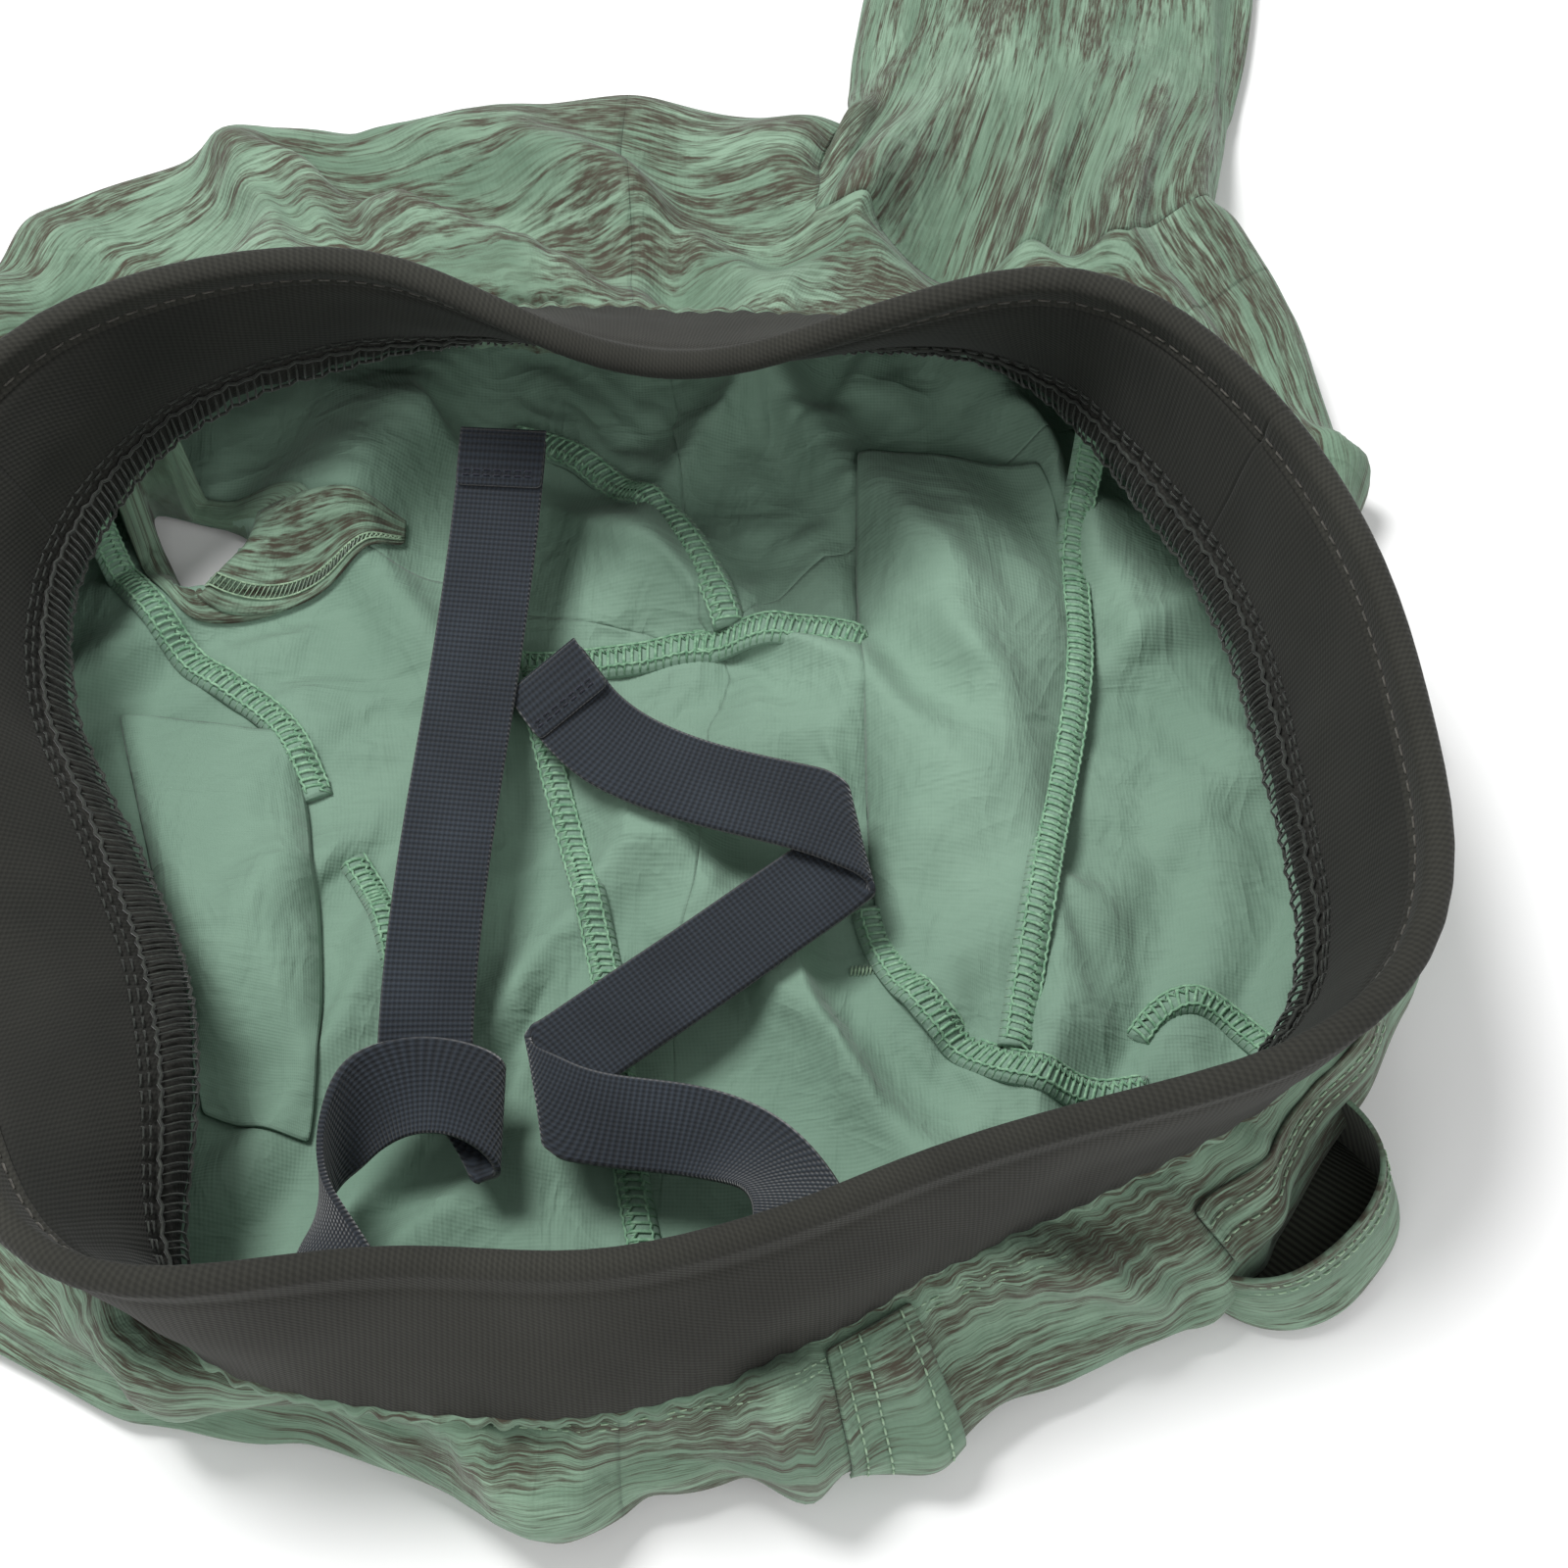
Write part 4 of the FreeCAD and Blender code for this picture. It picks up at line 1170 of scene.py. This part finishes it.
def band_half(first, last, profile, name, node, facing=False):
    """One half of the band: a profile of (out, high) pairs carried along the ring."""
    work, rows, highs = Work(), [], [0.0]
    for (a, b), (c, d) in zip(profile, profile[1:]):
        highs.append(highs[-1] + math.hypot(a - c, b - d))
    for out, high in profile:
        rows.append([band_spot(k, out, high) for k in range(first, last + 1)])
    base = BAND[first % BAND_COLUMNS][4]
    step = GIRTH / BAND_COLUMNS
    work.grid(rows, lambda r, k: (base + k * step, highs[r]))
    # the facing takes the darker copy of the knit, whose darkness is painted shade
    finish = KNIT_SHADED_INSIDE if facing else KNIT_OUTSIDE
    work.piece(name, (finish,), "shorts", "knit", 0.0009, 1, (node,), (highs[-1], "gathered"))


def rolled_profile():
    rows = [(0.0021, -0.0016), (0.00235, 0.0008)]
    rows += [(0.00235 + 0.0004 * math.sin(math.pi * t), 0.0008 + 0.0365 * t) for t in np.linspace(0.08, 1, 12)]
    rows += [(0.0019, 0.0386), (0.0021, 0.0400)]
    rows += [(ROLL * math.cos(a) * 1.08, BAND_HIGH + ROLL * math.sin(a) - 0.0004)
             for a in np.linspace(-0.35, math.pi + 0.4, 14)]
    rows += [(-0.0021, 0.0400), (-0.0014, 0.0388), (-0.0016, 0.0378), (-0.0022, 0.0368)]
    return rows


def facing_profile():
    rows = [(-0.0006, 0.0400), (-0.0008, 0.0385), (-0.0018, 0.0365)]
    rows += [(-0.0026 - 0.0008 * math.sin(math.pi * t), 0.0355 - 0.0335 * t) for t in np.linspace(0, 1, 14)]
    rows += [(-0.0029, 0.0005)]
    return rows


def column_at(x, y):
    return int(round((turn_of(plan(x, y)) % (2 * math.pi)) / (2 * math.pi) * BAND_COLUMNS))


def waistband():
    left, right = column_at(95, 58), column_at(-165, 62)
    rolled, inner = rolled_profile(), facing_profile()
    band_half(left, right, rolled, "waistband_back_knit", "waistband_back")
    band_half(right, left + BAND_COLUMNS, rolled, "waistband_front_knit", "waistband_front")
    band_half(left, right, inner, "waist_facing_back_knit", "waist_facing_back", True)
    band_half(right, left + BAND_COLUMNS, inner, "waist_facing_front_knit", "waist_facing_front", True)


def band_stitches(work, out, high, length):
    """A row of stitches all round the inside of the band."""
    line = [band_spot(k, out, high) for k in range(BAND_COLUMNS + 1)]
    stitch_row(work, line, [BAND[k % BAND_COLUMNS][2] * -1 for k in range(BAND_COLUMNS + 1)], length)


def rolled_edge():
    """Topstitching under the rolled edge, and the elastic in it."""
    thread = Work()
    band_stitches(thread, -0.0020, 0.0387, 0.0028)
    thread.piece("waistband_topstitching", (KNIT_THREAD,), "shorts", "knit")
    core, rows = Work(), []
    for k in range(0, BAND_COLUMNS, 2):
        seam, up, normal, stretch, walk = BAND[k]
        centre = seam + up * (BAND_HIGH * stretch)
        rows.append([centre + (normal * math.cos(a) - up * math.sin(a)) * 0.00095
                     for a in (2 * math.pi * j / 8 for j in range(8))])
    rows.append(rows[0])
    core.grid(rows, lambda r, k: (k * 0.0007, r * 0.0035), 0, True)
    core.piece("waist_elastic_core", (ELASTIC,), "shorts", "elastic_core", stands_for=("waist_elastic",))


def facing_edge():
    """Dark overlock thread and its topstitching along the facing's lower edge."""
    work, rows = Work(), []
    for k in range(0, BAND_COLUMNS + 1, 2):
        turn = 2 * math.pi * k / BAND_COLUMNS
        sway = 0.0012 * noise.noise(Vector((math.cos(turn) * 14, math.sin(turn) * 14, 2.2)))
        row = []
        for j in range(6):
            s = j / 5
            out = -0.0034 - 0.0011 * math.sin(math.pi * s) - sway * s
            row.append(band_spot(k, out, 0.0042 - 0.0082 * s))
        rows.append(row[::-1] + [p + BAND[k % BAND_COLUMNS][2] * 0.0008 for p in row])
    work.grid(rows, lambda r, k: (r * 0.0035, k * 0.0016), 0, True)
    for k in range(BAND_COLUMNS):
        wobble = 0.0005 * math.sin(k * 2.4)
        a, b = band_spot(k, -0.0050, 0.0040), band_spot(k, -0.0049, -0.0042 - wobble)
        mid = a.lerp(b, 0.5) - BAND[k][2] * 0.0006
        work.tube([a, a.lerp(mid, 0.6), mid, mid.lerp(b, 0.5), b], 0.0003, 4, 1)
    for high, out in ((-0.0042, -0.0046), (0.0042, -0.0044)):
        edge = [band_spot(k, out - 0.0002 * (k % 2), high + 0.0003 * (1 - 2 * (k % 2)))
                for k in range(BAND_COLUMNS)]
        work.tube(edge, 0.00042, 5, 1)
    # the overlock's wrapped cloth uses the darker knit copy, whose darkness is painted shade
    work.piece("facing_overlock", (KNIT_SHADED_INSIDE, DARK_THREAD), "shorts", "seam_thread")
    thread = Work()
    for high in (0.0064, 0.0082):
        band_stitches(thread, -0.0038, high, 0.0027)
    thread.piece("facing_topstitching", (DARK_THREAD,), "shorts", "seam_thread")


def eased_seam():
    """The shell's turned edge, puckered out from under the band."""
    work, rows = Work(), []
    count = BAND_COLUMNS * 3
    for n in range(count + 1):
        k = n / 3
        low, t = int(k), k - int(k)
        turn = 2 * math.pi * k / BAND_COLUMNS
        full = 0.35 + 0.65 * (abs(math.sin(turn * 1.7 + 0.6)) ** 2)
        scallop = full * (0.5 + 0.5 * math.sin(turn * 150 + 2.0 * noise.noise(Vector((turn * 8, 1.3, 0.0)))))
        row = []
        for j in range(7):
            a = math.pi * (j / 6) - 0.3
            out = 0.0016 + (0.0012 + 0.0009 * scallop) * math.sin(a)
            high = -0.0012 + (0.0013 + 0.0004 * scallop) * math.cos(a) - 0.0006 * scallop
            row.append(band_spot(low, out, high).lerp(band_spot(low + 1, out, high), t))
        rows.append(row)
    work.grid(rows, lambda r, k: (r * GIRTH / count, k * 0.0009), 0)
    work.piece("waist_seam_edge", (SHELL_OUTSIDE,), "shorts", "seam_cloth", 0.0006, 0, ("waist_seam",))


# --- pockets, hems and bars on the shell --------------------------------------------------
def bag(name, node, rows, tree, puff, seed):
    """A pocket bag lying inside on the shell: a slack flat sheet with a few crisp folds."""
    grid, cuts = [], []
    wide, tall = 28, 44
    lines = [smooth_line([plan(x, y).xy for x, y in row], 0.0005) for row in rows]
    for line in lines:
        at = np.linspace(0, len(line) - 1, wide)
        cuts.append(np.stack([np.interp(at, np.arange(len(line)), line[:, i]) for i in (0, 1)], 1))
    cuts = np.array(cuts)
    ways = [smooth_line([tuple(cuts[r][k]) for r in range(len(rows))], 0.0005) for k in range(wide)]
    for r in range(tall):
        row = []
        for k in range(wide):
            at = r / (tall - 1) * (len(ways[k]) - 1)
            x, y = (float(np.interp(at, np.arange(len(ways[k])), ways[k][:, i])) for i in (0, 1))
            spot, _ = drape(tree, x, y, 0.0016)
            s, t = k / (wide - 1), r / (tall - 1)
            crown = (math.sin(math.pi * s) ** 0.6) * (math.sin(math.pi * min(1, t * 1.1 + 0.05)) ** 0.5)
            fold = crease(Vector((x, y, 0)), seed, 0.034, 2.2, 0.6)
            spot.z += puff * crown * (0.45 + 0.75 * fold)
            row.append(spot)
        grid.append(row)
    heights = np.array([[p.z for p in row] for row in grid])
    soft = heights.copy()
    for _ in range(4):
        soft[1:-1, 1:-1] = (soft[:-2, 1:-1] + soft[2:, 1:-1] + soft[1:-1, :-2] + soft[1:-1, 2:]
                            + 2 * soft[1:-1, 1:-1]) / 6
    heights = np.maximum(soft, heights - 0.001)
    flat = np.array([[(p.x, p.y, z) for p, z in zip(row, zs)] for row, zs in zip(grid, heights)]).reshape(-1, 3)
    push_under_straps(flat, 0.0026)
    flat = flat.reshape(tall, wide, 3)
    work = Work()
    work.grid([[Vector(p) for p in row] for row in flat], lambda r, k: (k * 0.002, r * 0.0028))
    made = work.piece(name, (SHELL_INSIDE,), "shorts", "lining", 0.0007, 1, (node,), (0.055, "laid"))
    points = [v.co.copy() for v in made.data.vertices]
    return BVHTree.FromPolygons(points, [tuple(p.vertices) for p in made.data.polygons])


def merge_trees(*trees):
    """Something to drop onto: the highest of several surfaces."""
    class Pile:
        def ray_cast(self, start, way):
            best = (None, None, None, None)
            for tree in trees:
                hit = tree.ray_cast(start, way)
                if hit[0] is not None and (best[0] is None or hit[0].z > best[0].z):
                    best = hit
            return best
    return Pile()


def wall_patch(tree, corners, lift, across, down):
    """Grid of points that hugs the outside of the wall between two turns and two shares."""
    (turn_a, share_a), (turn_b, share_b) = corners
    rows, norms = [], []
    for r in range(down + 1):
        row, line = [], []
        share = share_a + (share_b - share_a) * r / down
        for k in range(across + 1):
            turn = turn_a + (turn_b - turn_a) * k / across
            want = wall_spot(turn, share)
            out = Vector((want.x - MIDDLE.x, want.y - MIDDLE.y, 0)).normalized()
            slope = share * math.pi / 2
            ray = (out * math.sin(slope * 0.9 + 0.1) + Vector((0, 0, math.cos(slope * 0.9 + 0.1)))).normalized()
            hit, normal, _, _ = tree.ray_cast(want + ray * 0.03, -ray, 0.06)
            if hit is None:
                hit, normal = want, ray
            if normal.dot(ray) < 0:
                normal = -normal
            row.append(hit + ray * lift)
            line.append(ray)
        rows.append(row)
        norms.append(line)
    return rows, norms


def front_pocket(tree):
    """Front pocket's edge: a folded strip of shell on the wall with three stitch rows."""
    mid = turn_of(plan(17, -118))
    corners = ((mid - 0.075, 0.12), (mid + 0.075, 0.86))
    rows, norms = wall_patch(tree, corners, 0.0014, 14, 20)
    work = Work()
    work.grid(rows, lambda r, k: (0.05 + k * 0.0012, r * 0.0018))
    work.piece("front_pocket_strip", (SHELL_OUTSIDE,), "shorts", "shell", 0.0008, 1, ("front_pocket_edge",),
               (0.018, "laid"))
    thread = Work()
    for k in (2, 5, 12):
        sew_along(thread, [row[k] + n[k] * ON_CLOTH for row, n in zip(rows, norms)], norms[10][k])
    thread.piece("front_pocket_stitches", (PALE_THREAD,), "shorts", "seam_thread")


def band_cover_stitches(tree):
    """Cover stitching on the shell just under the band."""
    thread = Work()
    for share in (0.16, 0.2):
        line, norms = [], []
        for turn in np.linspace(turn_of(plan(-60, -130)), turn_of(plan(60, -112)), 260):
            rows, ups = wall_patch(tree, ((turn, share), (turn, share)), 0.0002, 1, 1)
            line.append(rows[0][0])
            norms.append(ups[0][0])
        stitch_row(thread, line, norms, radius=0.0002)
    thread.piece("band_cover_stitches", (PALE_THREAD,), "shorts", "seam_thread")


HIP_POCKET = [(82, -97), (92, -106), (106, -104), (117, -95), (123, -85), (122, -74), (114, -64), (98, -56)]


def pocket_layer_rows():
    """Rows of the hip pocket's standing layer, from its bottom in the wall up to its mouth."""
    line = smooth_line([plan(x, y).xy for x, y in HIP_POCKET], 0.003)
    low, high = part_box("left_pocket_layer")
    base, top = low[2], high[2] - 0.001
    bottom, sides, tall = [], [], 12
    for back in (0.028, 0.021, 0.014, 0.007, 0.002):
        row = []
        for k, (x, y) in enumerate(line):
            inward = Vector((MIDDLE.x - x, MIDDLE.y - y, 0)).normalized()
            part = max(0.0, math.sin(math.pi * k / (len(line) - 1)))
            spot = Vector((x, y, 0)) + inward * (back * part ** 0.4)
            spot.z = base - 0.0008 + back * 0.25
            row.append(spot)
        bottom.append(row)
    for r in range(tall + 1):
        t = r / tall
        row = []
        for k, (x, y) in enumerate(line):
            s = k / (len(line) - 1)
            tuck = max(0.0, math.sin(math.pi * s)) ** 0.5
            z = base + (top - base) * (0.25 + 0.75 * tuck) * t
            wave = 0.0012 * noise.noise(Vector((s * 5, t * 2, 4.4)))
            lean = Vector((-0.006, 0.004, 0)) * t + Vector((x - MIDDLE.x, y - MIDDLE.y, 0)).normalized() * wave
            row.append(Vector((x, y, z)) + lean)
        sides.append(row)
    return bottom, sides


def hip_pocket(tree):
    """The left hip pocket's standing outer layer, its lip and their double topstitching."""
    bottom, sides = pocket_layer_rows()
    work = Work()
    work.grid(bottom + sides, lambda r, k: (0.4 + k * 0.003, r * 0.002))
    made = work.piece("left_pocket_outer", (SHELL_OUTSIDE, POCKET_LINING), "shorts", "shell",
                      stands_for=("left_pocket_layer",))
    thicken(made, 0.001, 1, inner_slot=1)
    thread = Work()
    for r in (9.2, 10.8):
        edge = [a.lerp(b, r - int(r)) for a, b in zip(sides[int(r)], sides[int(r) + 1])]
        norms = [Vector((p.x - MIDDLE.x, p.y - MIDDLE.y, 0)).normalized() for p in edge]
        sew_along(thread, [p + n * ON_CLOTH for p, n in zip(edge, norms)], Vector((0.8, -0.5, 0)).normalized())
    # the lip: a band of shell along the wall side of the mouth, with two stitch rows
    mid = turn_of(plan(100, -78))
    patch, norms = wall_patch(tree, ((mid - 0.17, 0.3), (mid + 0.2, 0.62)), 0.0014, 22, 10)
    lip = Work()
    lip.grid(patch, lambda r, k: (0.5 + k * 0.0018, r * 0.0018))
    lip.piece("left_pocket_hem", (SHELL_OUTSIDE,), "shorts", "shell", 0.0008, 1, ("left_pocket_lip",),
              (0.02, "laid"))
    for r in (3, 6):
        sew_along(thread, [p + n * ON_CLOTH for p, n in zip(patch[r], norms[r])], norms[r][10])
    thread.piece("left_pocket_stitches", (PALE_THREAD,), "shorts", "seam_thread")


def right_hem(tree):
    """The right leg's turned hem round its opening."""
    loop = loop_through([plan(x, y) for x, y in HEM_HOLE], 120)
    middle = loop.mean(0)
    work, rows = Work(), []
    for k in range(121):
        start = np.array(loop[k % 120])
        way = start - middle
        way /= np.linalg.norm(way)
        # wide towards the crotch, narrow elsewhere
        wide = 0.006 + 0.014 * max(0.0, (way @ np.array((0.92, -0.25)))) ** 2
        row = [drape(tree, *(start + way * (wide * j / 5 - 0.0004)), 0.0011)[0] for j in range(6)]
        row[0].z = 0.0022
        rows.append(row)
    work.grid(rows, lambda r, k: (r * 0.0009, k * 0.003))
    work.piece("right_leg_hem_turning", (SHELL_OUTSIDE,), "shorts", "shell", 0.0008, 1, ("right_leg_hem",),
               (0.012, "laid"))


def right_hem_strip(tree):
    """The strip of printed cloth beside that hem, with its zigzag stitching."""
    count, tall = 46, 8
    lines = [smooth_line([plan(x, y).xy for x, y in line], 0.001) for line in (
        [(-119, 83), (-103, 85), (-86, 83)], [(-131, 61), (-119, 54), (-103, 66), (-86, 77)])]
    upper, lower = (np.stack([np.interp(np.linspace(0, len(s) - 1, count), np.arange(len(s)), s[:, i])
                              for i in (0, 1)], 1) for s in lines)
    rows = [[drape(tree, *(upper[k] * (1 - j / tall) + lower[k] * (j / tall)), 0.0016)[0] for k in range(count)]
            for j in range(tall + 1)]
    work = Work()
    work.grid(rows, lambda r, k: (0.2 + k * 0.001, r * 0.0024))
    work.piece("right_leg_hem_strip", (SHELL_OUTSIDE,), "shorts", "shell", 0.0008, 1, cut=(0.02, "laid"))
    thread, zigzag, lift = Work(), [], Vector((0, 0, 0.0008))
    for k in range(2 * count - 2):
        row = rows[-2 if k % 2 else -3]
        zigzag.append(row[k // 2].lerp(row[min(count - 1, k // 2 + 1)], (k % 2) / 2) + lift)
    thread.tube(zigzag, 0.00028, 4)
    for r in (-2, -3):
        thread.tube([p + lift for p in rows[r]], 0.00026, 4)
    thread.piece("right_leg_hem_zigzag", (PALE_THREAD,), "shorts", "seam_thread")


def left_hem(points, hem):
    """Turned hem round the end of the left leg."""
    ring_points = [Vector(points[v]) for v in hem]
    middle = sum(ring_points, Vector()) / len(ring_points)
    work, rows = Work(), []
    for back in (0.0, 0.003, 0.006, 0.009, 0.012, 0.0145):
        row = []
        for p in ring_points:
            out = p - middle
            out = (out - LEG_WAY * out.dot(LEG_WAY)).normalized()
            off = 0.0012 if back else 0.0002
            spot = Vector((p.x, p.y, max(0.0012, p.z))) + out * off - LEG_WAY * (back - 0.001)
            spot.z = max(spot.z, 0.0008)
            row.append(spot)
        rows.append(row)
    work.grid(rows, lambda r, k: (k * 0.0055, r * 0.003), 0, True)
    work.piece("left_leg_hem_turning", (SHELL_OUTSIDE,), "left_leg", "shell", 0.0008, 1, ("left_leg_hem",),
               (0.015, "folded"))


def bartack(tree):
    """A small bar and the two stitch lines that hold the left pocket bag."""
    work = Work()
    for line in ([(33, 119), (48, 118), (64, 117)], [(34, 117), (48, 114), (63, 112)]):
        sew_along(work, [drape(tree, *plan(x, y).xy, 0.0004)[0] for x, y in line], Vector((0, 0, 1)))
    for cx, cy in ((32, 118), (17, -26)):
        for k in range(9):
            base = drape(tree, *plan(cx - 3 + k * 0.8, cy - 1).xy, 0.0006)[0]
            work.tube([base + Vector((0, -0.0012, 0)), base + Vector((0.0002, 0, 0.0006)),
                       base + Vector((0.0004, 0.0012, 0))], 0.00035, 5)
    work.piece("pocket_bartacks", (PALE_THREAD,), "shorts", "seam_thread")


# --- everything ---------------------------------------------------------------------------
LEFT_BAG = [
    [(17, 100), (38, 104), (58, 96)], [(16, 78), (38, 80), (64, 80)], [(17, 50), (42, 50), (67, 50)],
    [(18, 22), (40, 20), (62, 22)], [(18, -6), (38, -8), (58, -4)], [(21, -26), (38, -30), (52, -28)],
    [(30, -40), (38, -46), (47, -50)],
]
RIGHT_BAG = [
    [(-146, 34), (-128, 32), (-108, 28)], [(-136, 0), (-118, -2), (-98, -2)],
    [(-124, -38), (-110, -42), (-94, -42)], [(-118, -60), (-108, -64), (-96, -66)],
]
# name, route in the plan, whether it crosses a pocket bag, what it stands for, width
OVERLOCK_SEAMS = [
    ("rise_front", [(-25, -98), (-30, -80), (-34, -50), (-36, -31), (-43, -4), (-49, 16), (-53, 30), (-55, 42)],
     False, ("rise_front_seam",), 0.007),
    ("rise_back", [(-12, 55), (-18, 72), (-34, 92), (-50, 106), (-64, 110)], False, ("rise_back_seam",), 0.0075),
    ("left_inseam", [(-20, 52), (-6, 53), (6, 52), (18, 50)], False, ("left_inseam",), 0.0075),
    ("right_inseam", [(-58, 43), (-44, 46), (-28, 51), (-15, 52)], False, ("right_inseam",), 0.0075),
    ("left_side", [(71, 98), (64, 82), (66, 58), (63, 30), (57, 6), (51, -25), (47, -48)], True,
     ("left_side_seam",), 0.0075),
    ("right_side", [(-152, 72), (-142, 60), (-135, 51), (-127, 43), (-114, 36), (-106, 26), (-101, 14)], True,
     ("right_side_seam",), 0.007),
    ("left_bag", [(18, -14), (21, -27), (31, -41), (45, -53), (60, -57), (74, -56)], True, (), 0.0075),
    ("right_bag", [(-92, -2), (-86, -10), (-81, -22), (-81, -30)], True, (), 0.006),
    ("pocket_mouth", [(73, -44), (78, -36), (88, -34), (98, -44), (103, -54)], False, (), 0.006),
]

camera()
SHELL_INSIDE, SHELL_OUTSIDE = shell_inside_cloth(), shell_outside_cloth()
POCKET_LINING = lining_cloth()
KNIT_OUTSIDE = knit_cloth("knit_outside", rgb(40, 40, 36), rgb(52, 52, 47))
# the facing's knit is the outside knit painted a shade darker: painted shade on the band's inside
KNIT_SHADED_INSIDE = knit_cloth("knit_inside_painted_shade", rgb(34, 35, 32), rgb(46, 46, 42))
WEBBING = webbing_cloth()
SEAM_THREAD = thread_cloth("seam_thread", rgb(92, 136, 106), rgb(146, 184, 154))
PALE_THREAD = thread_cloth("pale_thread", rgb(120, 150, 122), rgb(164, 190, 160))
DARK_THREAD = thread_cloth("dark_thread", rgb(24, 27, 24), rgb(52, 56, 50))
KNIT_THREAD = thread_cloth("knit_thread", rgb(52, 50, 46), rgb(88, 85, 78))
STRAP_THREAD = thread_cloth("strap_thread", rgb(22, 24, 34), rgb(46, 48, 62))
ELASTIC = thread_cloth("elastic_core", rgb(190, 186, 176), rgb(214, 210, 200))
studio()
SHELL_TREE, SETTLED, HEM_RING = build_shell()
waistband()
rolled_edge()
facing_edge()
eased_seam()
for side, line, length in (("right", RIGHT_LINE, RIGHT_LENGTH), ("left", LEFT_LINE, LEFT_LENGTH)):
    strap(side + "_strap", side + "_strap", line)
    strap_anchor(side + "_strap_anchor", side + "_strap_lift")
LEFT_BAG_TREE = bag("left_pocket_sheet", "left_pocket_bag", LEFT_BAG, SHELL_TREE, 0.013, 6.1)
RIGHT_BAG_TREE = bag("right_pocket_sheet", "right_pocket_bag", RIGHT_BAG, SHELL_TREE, 0.012, 2.7)
ALL_TREE = merge_trees(SHELL_TREE, LEFT_BAG_TREE, RIGHT_BAG_TREE)
for name, route, on_bags, stands_for, width in OVERLOCK_SEAMS:
    overlock(name + "_overlock", route, ALL_TREE if on_bags else SHELL_TREE, stands_for, width)
front_pocket(SHELL_TREE)
band_cover_stitches(SHELL_TREE)
hip_pocket(SHELL_TREE)
right_hem(SHELL_TREE)
right_hem_strip(SHELL_TREE)
left_hem(SETTLED, HEM_RING)
bartack(ALL_TREE)
